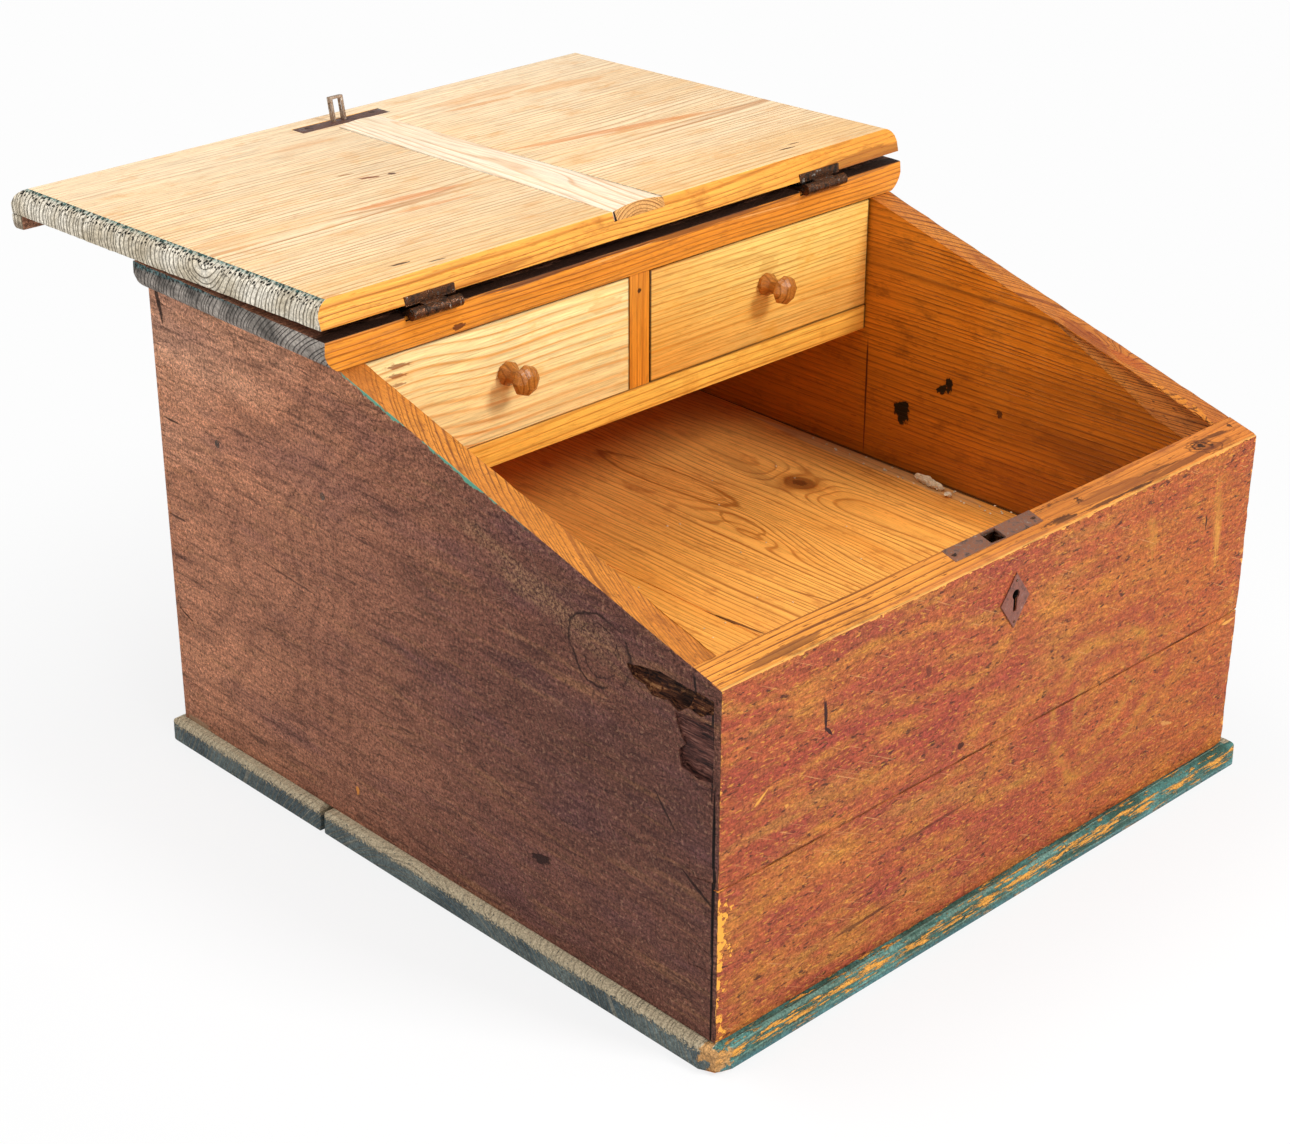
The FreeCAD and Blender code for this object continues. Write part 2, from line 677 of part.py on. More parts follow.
def lid_blank():
    """The lid board: its ends and its front edge swell from the inner face to a small flat nosing."""
    nosing = "skin + lid_flat"
    swell = "lid_face - skin - lid_flat"
    end_radius = "max(lid_side_overhang; %s) * 1.15" % swell
    ends = [("-lid_half", "skin"),
            ("lid_half", "skin"),
            ("lid_half", nosing, end_radius),
            ("half_width", "lid_face"),
            ("-half_width", "lid_face", end_radius),
            ("-lid_half", nosing)]
    across = prism("lid_ends", "XZ_Plane", ends, "lid_nose * 1.5", (0, "lid_nose * 1.2", 0))
    nose_radius = "max(nose_depth; %s) * 1.15" % swell
    profile = [("edge_outer", "skin"),
               ("lid_nose", "skin"),
               ("lid_nose", nosing, nose_radius),
               ("lid_nose - nose_depth", "lid_face"),
               ("edge_inner", "lid_face")]
    along = prism("lid_profile", "YZ_Plane", profile, "lid_half * 2", ("-lid_half", 0, 0))
    return common("lid_blank", [across, along])


def batten_blank():
    """A tapered batten let into the lid's inner face, entered from the hinge edge and crowned."""
    wedge = add("Part::Wedge", "batten_wedge")
    near = "batten_front_width / 2"
    far = "batten_back_width / 2"
    bind(wedge, Xmin="batten_shift - %s" % near, Xmax="batten_shift + %s" % near,
         X2min="batten_shift - %s" % far, X2max="batten_shift + %s" % far,
         Ymin="edge_inner", Ymax="edge_inner + batten_length",
         Zmin="lid_face - batten_depth", Zmax="lid_face + batten_rise",
         Z2min="lid_face - batten_depth", Z2max="lid_face + batten_rise")
    crown = "(batten_front_width ^ 2 / 4 + batten_rise ^ 2) / (2 * batten_rise)"
    bow = rod("batten_crown", crown, "lid_nose * 2", "batten_shift", "-lid_nose / 2",
              "lid_face + batten_rise - (%s)" % crown, "+y")
    return common("batten_body", [wedge, bow])


def book_ledge(nails):
    """The strip along the lid's free edge that keeps books on the closed slope."""
    low = "skin - ledge_height"
    back = "lid_nose - ledge_width"
    profile = [(back, low),
               ("lid_nose - ledge_round", low, "ledge_round * 1.1"),
               ("lid_nose", "skin - ledge_height + ledge_round"),
               ("lid_nose", "skin"),
               (back, "skin")]
    strip = prism("ledge_strip", "YZ_Plane", profile, "lid_half * 2", ("-lid_half", 0, 0))
    on_lid("book_ledge", cut("ledge_body", strip, [nails]))


def ledge_nail_group():
    made = []
    for number in range(5):
        x = "lid_half * %s" % (0.44 * (number - 2))
        made.append(nail("ledge_nail_%d" % (number + 1), x, "lid_nose - ledge_width / 2",
                         "skin - ledge_height", "+z", "ledge_height + lid_thick * 0.5"))
    return group("ledge_nail_set", made)


def staple():
    """The staple's plate lies in the lid's inner face, and its eye is a bent strap with two legs."""
    centre = "lock_shift"
    root = "staple_plate_thick"
    outer = box("eye_outer", "-staple_span / 2", "staple_span / 2", "-staple_width / 2",
                "staple_width / 2", "-%s" % root, "staple_height")
    arch = box("eye_arch", "staple_strap - staple_span / 2", "staple_span / 2 - staple_strap",
               "-staple_width", "staple_width", "-2 * %s" % root, "staple_height - staple_strap")
    window = box("eye_window", "-staple_span", "staple_span", "-(bolt_thick / 2 + 0.5)",
                 "bolt_thick / 2 + 0.5", "bolt_depth - bolt_height / 2 - 0.8",
                 "bolt_depth + bolt_height / 2 + 0.8")
    eye = cut("eye_body", outer, [arch, window])
    leaning = group("eye_leaning", [eye])
    place(leaning, centre, "staple_reach", "lid_face", angle="-staple_lean")

    made = [tack("staple_nail_%d" % (number + 1), "%s + %s * staple_plate_length" % (centre, share),
                 "staple_reach - staple_plate_forward / 2", "lid_face", "-z")
            for number, share in enumerate(("-0.38", "0.38"))]
    nails = group("staple_nail_set", made)
    plate = box("staple_plate_blank", "%s - staple_plate_length / 2" % centre,
                "%s + staple_plate_length / 2" % centre,
                "staple_plate_near", "staple_plate_far", "lid_face - staple_plate_thick", "lid_face")
    on_lid("staple_plate", cut("staple_plate_body", plate, [leaning, nails]))
    on_lid("staple_eye", leaning)
    on_lid("staple_nails", nails)
    return plate, leaning, nails


def lid(notches, hinge_holes):
    ledge_nails = ledge_nail_group()
    batten = batten_blank()
    plate, eye, staple_nails = staple()
    tools = notches + [batten, plate, eye, staple_nails, ledge_nails] + hinge_holes
    on_lid("lid_board", cut("lid_body", lid_blank(), tools))
    on_lid("lid_batten", batten)
    book_ledge(ledge_nails)
    on_lid("ledge_nails", ledge_nails)


# ---------------------------------------------------------------- lock

def key_hole():
    """The keyhole through the front: a round eye over a slot."""
    eye = rod("key_eye", "key_hole_diameter / 2", "front_thick", "key_x", "front_y - 5", "key_z", "+y")
    slot = box("key_slot", "key_x - key_slot_width / 2", "key_x + key_slot_width / 2", "front_y - 5",
               "front_y - 5 + front_thick", "key_z - key_slot_length", "key_z")
    return join("key_hole", [eye, slot])


def lock():
    mortise = box("lock_mortise", "lock_left", "lock_right", "front_y + mortise_front", "inner_front + 1",
                  "mortise_foot", "case_height")
    selvedge_blank = add("Part::Box", "selvedge_blank")
    bind(selvedge_blank, Length="selvedge_length", Width="(front_thick - selvedge_front) / slope_cos",
         Height="selvedge_thick")
    place(selvedge_blank, "lock_shift - selvedge_length / 2",
          "front_y + selvedge_front + selvedge_thick * slope_sin",
          "front_height + selvedge_front * slope_sin / slope_cos - selvedge_thick * slope_cos",
          angle="slope")
    slot = box("staple_slot", "lock_shift - slot_length / 2", "lock_shift + slot_length / 2",
               "front_y + slot_front", "front_y + slot_back", "mortise_foot", "case_height")
    top_nails = [tack("selvedge_nail_%d" % (number + 1), "lock_shift + %s * selvedge_length" % share,
                      "front_y + (selvedge_front + front_thick) / 2",
                      "front_height + (selvedge_front + front_thick) / 2 * slope_sin / slope_cos",
                      "-z") for number, share in enumerate(("-0.45", "0.45"))]
    plate_top = "lock_top - 1"
    plate_foot = "lock_top - lock_plate_height"
    plate_nails = [tack("plate_nail_%d" % (number + 1), "lock_shift + %s * selvedge_length" % share,
                        "plate_back", level, "-y")
                   for number, (share, level) in enumerate((("-0.46", "lock_top - 16"),
                                                            ("0.46", "lock_top - 16"),
                                                            ("-0.46", plate_foot + " + 8"),
                                                            ("0.46", plate_foot + " + 8")))]
    nails = group("lock_nails", top_nails + plate_nails)
    node("lock_selvedge", cut("lock_selvedge", selvedge_blank, [slot, nails]))

    # plate on the inner face, hollowed over the mortise, with a lug that guides the bolt
    plate = box("plate_blank", "lock_shift - selvedge_length / 2", "lock_shift + selvedge_length / 2",
                "inner_front", "plate_back", plate_foot, plate_top)
    hollow = box("plate_hollow", "lock_left", "lock_right", "inner_front - 1", "plate_inner",
                 "mortise_foot", "case_height")
    guide_front = "bolt_front - guide_rim"
    guide = box("bolt_guide", "bolt_tip + 1", "bolt_tip + 1 + guide_thick", guide_front, "plate_back",
                "talon_foot - guide_rim", "bolt_head + guide_rim")
    windows = [box("tongue_window", "bolt_tip - 1", "bolt_tip + 2 + guide_thick",
                   "bolt_front - bolt_gap", "bolt_back + bolt_gap", "bolt_foot - bolt_gap",
                   "bolt_head + bolt_gap"),
               box("talon_window", "bolt_tip - 1", "bolt_tip + 2 + guide_thick",
                   "bolt_front - bolt_gap", "bolt_back + bolt_gap", "talon_foot - bolt_gap",
                   "talon_foot + talon_height + bolt_gap")]
    pivot = rod("tumbler_pin", "tumbler_pin_diameter / 2", "plate_back - (bolt_front - guide_rim)",
                "pivot_x", "plate_back", "pivot_z", "-y")
    pin = rod("key_pin", "key_pin_diameter / 2", "plate_back - (front_y + mortise_front + 1)",
              "key_x", "plate_back", "key_z", "-y")
    hollowed = cut("plate_hollowed", plate, [hollow])
    node("lock_plate", cut("lock_plate", join("plate_and_guide", [hollowed, guide]),
                           windows + [pivot, pin, nails]))
    node("tumbler_pin", pivot)
    node("key_pin", pin)
    node("lock_nails", nails)
    lock_works()
    return mortise, selvedge_blank, nails


def lock_works():
    """The bolt, the tumbler that springs up into its lower edge, and the spring. The tumbler is
    drawn pressed down clear of the bolt, as the key holds it."""
    bars = [box("bolt_tongue", "bolt_tip", "bolt_end", "bolt_front", "bolt_back", "bolt_foot", "bolt_head"),
            box("bolt_tail", "bolt_end - tail_width", "bolt_end", "bolt_front", "bolt_back",
                "talon_foot", "bolt_head"),
            box("bolt_talon", "talon_left", "bolt_end", "bolt_front", "bolt_back",
                "talon_foot", "talon_foot + talon_height")]
    notch_top = "talon_foot + talon_notch"
    tooth_left = "tooth_x - tooth_width / 2"
    tooth_right = "tooth_x + tooth_width / 2"
    notches = [box("key_gate", "key_x - key_slot_width", "key_x + key_slot_width", "bolt_front - 1",
                   "bolt_back + 1", "talon_foot - 1", notch_top)]
    for name, shift in (("open_notch", "0"), ("shut_notch", "bolt_throw")):
        notches.append(box(name, "%s - swing_gap + %s" % (tooth_left, shift),
                           "%s + tumbler_gap + %s" % (tooth_right, shift), "bolt_front - 1",
                           "bolt_back + 1", "talon_foot - 1", notch_top))
    node("lock_bolt", cut("lock_bolt", join("bolt_blank", bars), notches))

    arm = box("tumbler_bar", "pivot_x - tumbler_height / 2", tooth_right, "bolt_front", "bolt_back",
              "tumbler_foot", "tumbler_top")
    tooth = box("tumbler_tooth", tooth_left, tooth_right, "bolt_front", "bolt_back",
                "tumbler_foot", "tumbler_top + tooth_height")
    bearing = rod("tumbler_bearing", "tumbler_pin_diameter / 2 + pin_play", "bolt_thick * 3", "pivot_x",
                  "bolt_front - bolt_thick", "pivot_z", "+y")
    node("lock_tumbler", cut("lock_tumbler", join("tumbler_blank", [arm, tooth]), [bearing]))

    strip_top = "tumbler_foot - tumbler_gap / 3"
    strip_left = "pivot_x + tumbler_height"
    strip = box("spring_strip", strip_left, "tooth_x", "bolt_front", "bolt_back",
                strip_top + " - spring_thick", strip_top)
    foot = box("spring_foot_block", strip_left, strip_left + " + spring_foot", "bolt_front",
               "plate_inner", strip_top + " - 2 * spring_thick", strip_top)
    node("lock_spring", join("lock_spring", [strip, foot]))


def escutcheon(hole):
    """A thin lozenge round the keyhole, held by two pins."""
    middle = "key_z - key_slot_length / 2 + 1.5"
    corners = [("key_x", "%s - escutcheon_height / 2" % middle),
               ("key_x + escutcheon_width / 2", middle),
               ("key_x", "%s + escutcheon_height / 2" % middle),
               ("key_x - escutcheon_width / 2", middle)]
    lozenge = prism("escutcheon_lozenge", "XZ_Plane", corners, "escutcheon_thick", (0, "front_y", 0))
    made = [rod("escutcheon_pin_%d" % (number + 1), "tack_diameter / 2", "tack_length * 0.7", "key_x",
                "front_y - escutcheon_thick - 0.3", level, "+y")
            for number, level in enumerate(("%s + escutcheon_height * 0.36" % middle,
                                            "%s - escutcheon_height * 0.38" % middle))]
    pins_group = group("escutcheon_pins", made)
    node("escutcheon", cut("escutcheon", lozenge, [hole, pins_group]))
    node("escutcheon_pins", pins_group)
    return pins_group


# ---------------------------------------------------------------- assembly

def build():
    write_sizes()
    above = slope_tool()
    bottom_nails = bottom_nail_group()
    top_nails = top_nail_group()
    shelf_nails = shelf_nail_group()

    front_pins = pins("front_pin", "front_y + lap_thick", "inner_front", True, "front_height",
                      pin_count("front_height"))
    back_pins = pins("back_pin", "back_y - lap_thick", "inner_back", False, "case_height",
                     pin_count("case_height"))
    front_wall = end_wall("front", "front_y", "inner_front", "front_y + lap_thick", front_pins)
    back_wall = end_wall("back", "back_y", "inner_back", "back_y - lap_thick", back_pins)

    side_tools = [above, front_pins, back_pins, bottom_nails, top_nails, shelf_nails]
    side("left_side", "-half_width", "-inner_x", side_tools)
    side("right_side", "inner_x", "half_width", side_tools)

    hole = key_hole()
    mortise, selvedge, lock_nails = lock()
    escutcheon_pins = escutcheon(hole)
    plank("front_upper_plank", front_wall, "front_joint", "case_height",
          [above, mortise, selvedge, lock_nails, hole, escutcheon_pins])
    plank("front_lower_plank", front_wall, "bottom_thick", "front_joint - plank_gap", [bottom_nails])
    plank("back_upper_plank", back_wall, "back_joint", "case_height", [top_nails])
    plank("back_lower_plank", back_wall, "bottom_thick", "back_joint - plank_gap", [bottom_nails])

    bottom_boards(bottom_nails)
    well_floor()
    drawer_compartment(shelf_nails, top_nails)

    left = hinge("left", "-hinge_shift")
    right = hinge("right", "hinge_shift")
    fixed_nails = group("hinge_nails_fixed", [left[2], right[2]])
    place(fixed_nails, 0, "axis_y", "axis_z")
    node("hinge_nails_fixed", fixed_nails)
    on_lid("hinge_nails_lid", group("hinge_lid_nail_set", [left[3], right[3]]))
    top_board(top_nails, fixed_nails, [left[0], right[0]])
    lid([left[1], right[1]], [left[3], right[3]])

    drawer("left", "-inner_x", "divider_left")
    drawer("right", "divider_right", "inner_x")
    node("bottom_nails", bottom_nails)
    node("top_nails", top_nails)
    node("shelf_nails", shelf_nails)
    doc.recompute()


def write_parts():
    for thing in doc.Objects:
        if "Invalid" in thing.State or "Error" in thing.State:
            raise RuntimeError("%s did not build" % thing.Label)
    os.makedirs("parts", exist_ok=True)
    for thing in nodes:
        if thing.Shape.isNull() or not thing.Shape.isValid():
            raise RuntimeError("%s has no sound shape" % thing.Label)
    for thing in nodes:
        thing.Shape.exportStep("parts/%s.step" % thing.Label)


build()
write_parts()
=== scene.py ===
import json
import math
import random

import bmesh
import bpy
from mathutils import Matrix, Vector


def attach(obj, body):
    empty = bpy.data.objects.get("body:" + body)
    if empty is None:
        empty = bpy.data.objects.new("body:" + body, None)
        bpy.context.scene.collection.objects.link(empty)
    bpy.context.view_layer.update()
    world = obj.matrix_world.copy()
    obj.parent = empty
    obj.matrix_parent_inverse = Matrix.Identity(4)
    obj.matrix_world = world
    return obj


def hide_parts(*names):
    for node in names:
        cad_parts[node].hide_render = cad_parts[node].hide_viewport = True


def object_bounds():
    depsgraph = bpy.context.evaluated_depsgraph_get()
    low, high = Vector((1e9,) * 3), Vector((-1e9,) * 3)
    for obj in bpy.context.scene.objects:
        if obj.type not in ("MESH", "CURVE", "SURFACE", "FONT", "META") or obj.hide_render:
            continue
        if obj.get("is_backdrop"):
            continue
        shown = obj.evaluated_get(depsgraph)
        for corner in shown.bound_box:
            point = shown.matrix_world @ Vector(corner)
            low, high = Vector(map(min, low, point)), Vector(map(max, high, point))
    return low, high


# A painted pine writing chest with its lid folded back: worn boards, old paint, dark iron.

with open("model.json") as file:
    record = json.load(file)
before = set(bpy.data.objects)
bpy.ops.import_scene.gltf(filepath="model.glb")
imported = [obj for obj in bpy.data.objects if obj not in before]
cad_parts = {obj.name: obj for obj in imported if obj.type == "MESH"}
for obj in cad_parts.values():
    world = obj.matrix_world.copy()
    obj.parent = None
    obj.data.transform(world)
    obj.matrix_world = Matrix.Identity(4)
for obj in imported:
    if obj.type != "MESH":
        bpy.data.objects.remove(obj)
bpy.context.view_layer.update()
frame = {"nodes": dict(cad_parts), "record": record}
nodes = frame["nodes"]
scene = bpy.context.scene
MM = 0.001
LID_NORMAL = (0, 0.029078, 0.999577)  # across the folded lid's inner face, which leans back a little
LID_FACE = 370.816  # how far that face lies along it, in mm
SLOPE_NORMAL = (0, -0.26439, 0.96442)  # across the sides' slope
SLOPE_CUT = 298.79  # how far the slope lies along it
FRONT_HEIGHT, SLOPE_RISE = 240.6, 0.27418  # the sides' height at the front, and the slope's rise per mm
FRONT_Y, SIDE_X = 252.5, 240.0  # half the case's depth and half its width


# ---------------------------------------------------------------- camera, floor and light

def place_camera():
    """Stands at the chest's front left corner and looks down on it."""
    data = bpy.data.cameras.new("camera")
    data.sensor_width, data.lens = 36.0, 72.436
    data.clip_start, data.clip_end = 0.05, 60.0
    camera = bpy.data.objects.new("camera", data)
    scene.collection.objects.link(camera)
    right = Vector((0.720562, -0.693385, 0.002723))
    up = Vector((0.307556, 0.323125, 0.894986))
    back = Vector((-0.621450, -0.644055, 0.446086))
    turn = Matrix((right, up, back)).transposed()
    camera.matrix_world = Matrix.Translation((-1.078309, -1.064076, 0.890615)) @ turn.to_4x4()
    scene.camera = camera


def linear(text):
    """A hex colour as it is seen, turned to the linear values that a shader takes."""
    parts = [int(text[i:i + 2], 16) / 255 for i in (1, 3, 5)]
    return tuple(c / 12.92 if c <= 0.04045 else ((c + 0.055) / 1.055) ** 2.4 for c in parts) + (1.0,)


def put(kind, inputs=(), tree=None, stops=(), **settings):
    """Adds one node, such as TexNoise or Math.ADD, with its settings. Inputs go by name, or as a list
    in the node's own order. Each is a number, a hex colour, a node, or a node and its output, and
    the new node joins the tree of those."""
    links, values = {}, {}
    for socket, value in inputs.items() if isinstance(inputs, dict) else enumerate(inputs):
        if isinstance(value, bpy.types.Node):
            value = (value, 0)
        if isinstance(value, tuple) and isinstance(value[0], bpy.types.Node):
            links[socket] = value
            tree = value[0].id_data
        else:
            values[socket] = linear(value) if isinstance(value, str) else value
    kind, _, operation = kind.partition(".")
    made = tree.nodes.new("ShaderNode" + kind)
    if operation:
        made.operation = operation
    for name, value in settings.items():
        setattr(made, name, value)
    if stops:
        ramp = made.color_ramp.elements
        ramp[0].position, ramp[1].position = stops[0][0], stops[-1][0]
        ramp[0].color, ramp[1].color = linear(stops[0][1]), linear(stops[-1][1])
        for position, colour in stops[1:-1]:
            ramp.new(position).color = linear(colour)
    for socket, (node, output) in links.items():
        tree.links.new(node.outputs[output], made.inputs[socket])
    for socket, value in values.items():
        made.inputs[socket].default_value = value
    return made


def empty_tree(owner):
    owner.use_nodes = True
    owner.node_tree.nodes.clear()
    return owner.node_tree


def set_floor_and_light():
    """A pale floor that runs to the horizon, a white surround, and large soft lamps."""
    bpy.ops.mesh.primitive_plane_add(size=60, location=(0, 0, 0))
    floor = bpy.context.active_object
    floor.name = "floor"
    floor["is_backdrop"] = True
    material = bpy.data.materials.new("pale_studio_floor")
    floor.data.materials.append(material)
    tree = empty_tree(material)
    # the camera sees part of the floor's own shade near the chest and plain white further off
    matt = put("BsdfDiffuse", {"Color": "#f4f4f4"}, tree)
    glow = put("Emission", {"Color": "#fdfdfd", "Strength": 1.0}, tree)
    away = put("VectorMath.LENGTH", [(put("TexCoord", (), tree), "Object")])
    share = put("MapRange", [(away, "Value"), 0.35, 0.75, 0.78, 1.0], interpolation_type="SMOOTHSTEP")
    share = put("Math.MULTIPLY", [(put("LightPath", (), tree), "Is Camera Ray"), share])
    put("OutputMaterial", {"Surface": put("MixShader", [share, matt, glow])})

    scene.world = bpy.data.worlds.new("studio")
    tree = empty_tree(scene.world)
    ambient = put("Background", {"Color": "#ffffff", "Strength": 0.42}, tree)
    white = put("Background", {"Color": "#fdfdfd", "Strength": 1.0}, tree)
    seen_white = put("MixShader", [(put("LightPath", (), tree), "Is Camera Ray"), ambient, white])
    put("OutputWorld", {"Surface": seen_white})

    # name, place, size, watts: the key stands right of the front, so the left side is in half shade
    lamps = (("key", (0.6, -2.0, 2.0), 0.7, 50), ("top", (-0.5, 0.7, 2.3), 1.2, 20),
             ("left_fill", (-2.3, 0.5, 1.3), 1.2, 11), ("front_fill", (-0.7, -2.4, 0.7), 1.0, 11))
    middle = Vector((0, 0.05, 0.2))
    for name, place, size, watts in lamps:
        light = bpy.data.lights.new(name, "AREA")
        light.size, light.energy = size, watts
        lamp = bpy.data.objects.new(name, light)
        scene.collection.objects.link(lamp)
        lamp.location = place
        lamp.rotation_mode = "QUATERNION"
        lamp.rotation_quaternion = (middle - Vector(place)).to_track_quat("-Z", "Y")


# ---------------------------------------------------------------- finishes: the parts they share

GRAIN_ORDER = {"x": (0, 1, 2), "y": (1, 0, 2), "z": (2, 0, 1)}
SHADER = "Principled BSDF"


def new_finish(name, grain, roughness, gloss=0.3):
    """A material, the point on the piece in the chest's own millimetres, and the same point as
    millimetres along the grain, across it and through it."""
    material = bpy.data.materials.new(name)
    tree = empty_tree(material)
    shader = put("BsdfPrincipled", {"Roughness": roughness, "Specular IOR Level": gloss}, tree)
    put("OutputMaterial", {"Surface": shader})
    mm = put("VectorMath.MULTIPLY", [(put("TexCoord", (), tree), "Object"), (1000, 1000, 1000)])
    split = put("SeparateXYZ", [mm])
    return material, mm, put("CombineXYZ", [(split, order) for order in GRAIN_ORDER[grain]])


def dress(material, colour, height, depth_mm):
    """Gives the material its colour, and a relief of that depth."""
    tree = material.node_tree
    shader = tree.nodes[SHADER]
    bump = put("Bump", {"Height": height, "Distance": depth_mm * MM, "Strength": 1})
    tree.links.new(colour.outputs[0], shader.inputs["Base Color"])
    tree.links.new(bump.outputs[0], shader.inputs["Normal"])
    return material


def streaks(place, along, across, seed=0, detail=2, roughness=0.5, low=None, high=None, top=1):
    """Noise drawn out along the grain, its length and width in mm. With low and high it becomes a
    mask that is 0 under the low value and reaches the top value over the high one."""
    drawn = put("Mapping", {"Vector": place, "Location": (seed, seed * 1.7, seed * 0.6),
                            "Scale": (1 / along, 1 / across, 1 / across)})
    noise = put("TexNoise", {"Vector": drawn, "Scale": 1, "Detail": detail, "Roughness": roughness})
    return noise if low is None else put("MapRange", [noise, low, high, 0, top])


def scratches(place, degrees, seed, often, length=34, width=0.7):
    """Fine straight scratches that cross the face at an angle to its grain."""
    turned = put("Mapping", {"Vector": place, "Rotation": (0, math.radians(degrees), 0)})
    return streaks(turned, length, width, seed, 1, 0.5, often, often + 0.05)


def growth_rings(place, pith, ring, taper=0, wander=5, seed=0, swells=()):
    """Late wood from 0 to 1, in rings round a pith that runs with the grain. The same rings give
    straight lines, arches or end grain, by how the board was sawn. A swell is (along, across, its
    reach each way, push): it bends the rings round a knot or draws them into a flame."""
    offset = put("VectorMath.SUBTRACT", [(streaks(place, 300, 90, seed), "Color"), (0.5, 0.5, 0.5)])
    offset = put("VectorMath.MULTIPLY", [offset, (0, wander * 4, wander * 4)])
    centred = put("VectorMath.SUBTRACT", [place, (0, *pith)])
    moved = put("VectorMath.ADD", [centred, offset])
    radius = put("VectorMath.LENGTH", [put("VectorMath.MULTIPLY", [moved, (0, 1, 1)])])
    cone = put("Math.MULTIPLY_ADD", [put("SeparateXYZ", [place]), taper, (radius, "Value")])
    for along, across, reach_along, reach_across, push in swells:
        about = put("VectorMath.SUBTRACT", [place, (along, across, 0)])
        about = put("VectorMath.MULTIPLY", [about, (1 / reach_along, 1 / reach_across, 0)])
        near = put("VectorMath.DOT_PRODUCT", [about, about])
        near = put("Math.EXPONENT", [put("Math.MULTIPLY", [(near, "Value"), -1])])
        cone = put("Math.MULTIPLY_ADD", [near, push, cone])
    count = put("Math.DIVIDE", [cone, ring])
    vary = put("TexNoise", {"W": count, "Scale": 0.22, "Detail": 2}, noise_dimensions="1D")
    phase = put("Math.FRACT", [put("Math.MULTIPLY_ADD", [vary, 3, count])])
    return put("ValToRGB", [phase], stops=((0, "#000000"), (0.45, "#202020"), (0.70, "#8c8c8c"),
                                           (0.82, "#ffffff"), (0.93, "#e0e0e0"), (1, "#000000")))


def blot(mm, centre, size, turn=(0, 0, 0), ragged=0.4, soft=0.3, hollow=None):
    """A mark at a place: 1 inside an oval of the given half sizes, with a ragged rim. With hollow it
    is only an outline, as thick as that share of the oval."""
    about = put("VectorMath.SUBTRACT", [mm, centre])
    turned = put("VectorRotate", {"Vector": about, "Rotation": tuple(math.radians(a) for a in turn)},
                 rotation_type="EULER_XYZ")
    scaled = put("VectorMath.MULTIPLY", [turned, tuple(1 / s for s in size)])
    away = put("VectorMath.LENGTH", [scaled])
    rough = put("TexNoise", {"Vector": scaled, "Scale": 1.6, "Detail": 4, "Roughness": 0.6})
    uneven = put("Math.MULTIPLY_ADD", [rough, -4 * ragged, 2 * ragged])
    total = put("Math.ADD", [(away, "Value"), uneven])
    rims = [put("MapRange", [total, rim + soft / 2, rim - soft / 2], interpolation_type="SMOOTHSTEP")
            for rim in ((1,) if hollow is None else (1, 1 - hollow))]
    return rims[0] if hollow is None else put("Math.SUBTRACT", rims, use_clamp=True)


def lay_over(colour, *layers):
    """Lays colours over the one below. A layer is its mask, its colour and its share."""
    for mask, top, share in layers:
        amount = mask if share == 1 else put("Math.MULTIPLY", [mask, share])
        colour = put("MixRGB", [amount, colour, top])
    return colour


def marks_on(mm, face, level, depth, rows):
    """Layers for the marks on one face, x, y or z, that lies at a level. A row is the mark's place on
    the face, its half sizes, its turn in degrees, its colour and share, and how its rim is."""
    axis = "xyz".index(face)
    layers = []
    for across, up, half_across, half_up, degrees, top, share, *rim in rows:
        centre, size, turn = [across, up], [half_across, half_up], [0, 0]
        for values, value in ((centre, level), (size, depth), (turn, degrees)):
            values.insert(axis, value)
        layers.append((blot(mm, centre, size, turn, *rim), top, share))
    return layers


def darken(colour, noise, low, high):
    """Multiplies the colour by the noise, spread between the two values."""
    return put("MixRGB", [1, colour, put("MapRange", [noise, 0.3, 0.7, low, high])], blend_type="MULTIPLY")


def fade(mm, axis, start, end):
    """0 at the start coordinate and 1 at the end one."""
    return put("MapRange", [(put("SeparateXYZ", [mm]), axis), start, end], interpolation_type="SMOOTHSTEP")


def reach_of(mm, plane, cut):
    """Millimetres inside a plane: 0 on the arris that the plane cuts off."""
    inside = put("VectorMath.DOT_PRODUCT", [mm, plane])
    return put("Math.SUBTRACT", [cut, (inside, "Value")])


def chips(mm, arrises, reach, often=0.5, grit=9, seed=0):
    """Chips along arrises: each arris is a plane and its cut, and a chip reaches in from it."""
    moved = put("VectorMath.ADD", [mm, (seed, seed, seed)])
    noise = put("TexNoise", {"Vector": moved, "Scale": 1 / grit, "Detail": 4, "Roughness": 0.65})
    depth = put("MapRange", [noise, often, often + 0.22, -0.3, reach], clamp=False)
    nearest = None
    for plane, cut in arrises:
        inside = reach_of(mm, plane, cut)
        nearest = put("Math.MINIMUM", [nearest, inside]) if nearest else inside
    return put("MapRange", [put("Math.SUBTRACT", [depth, nearest]), 0, 0.5])


# ---------------------------------------------------------------- finishes

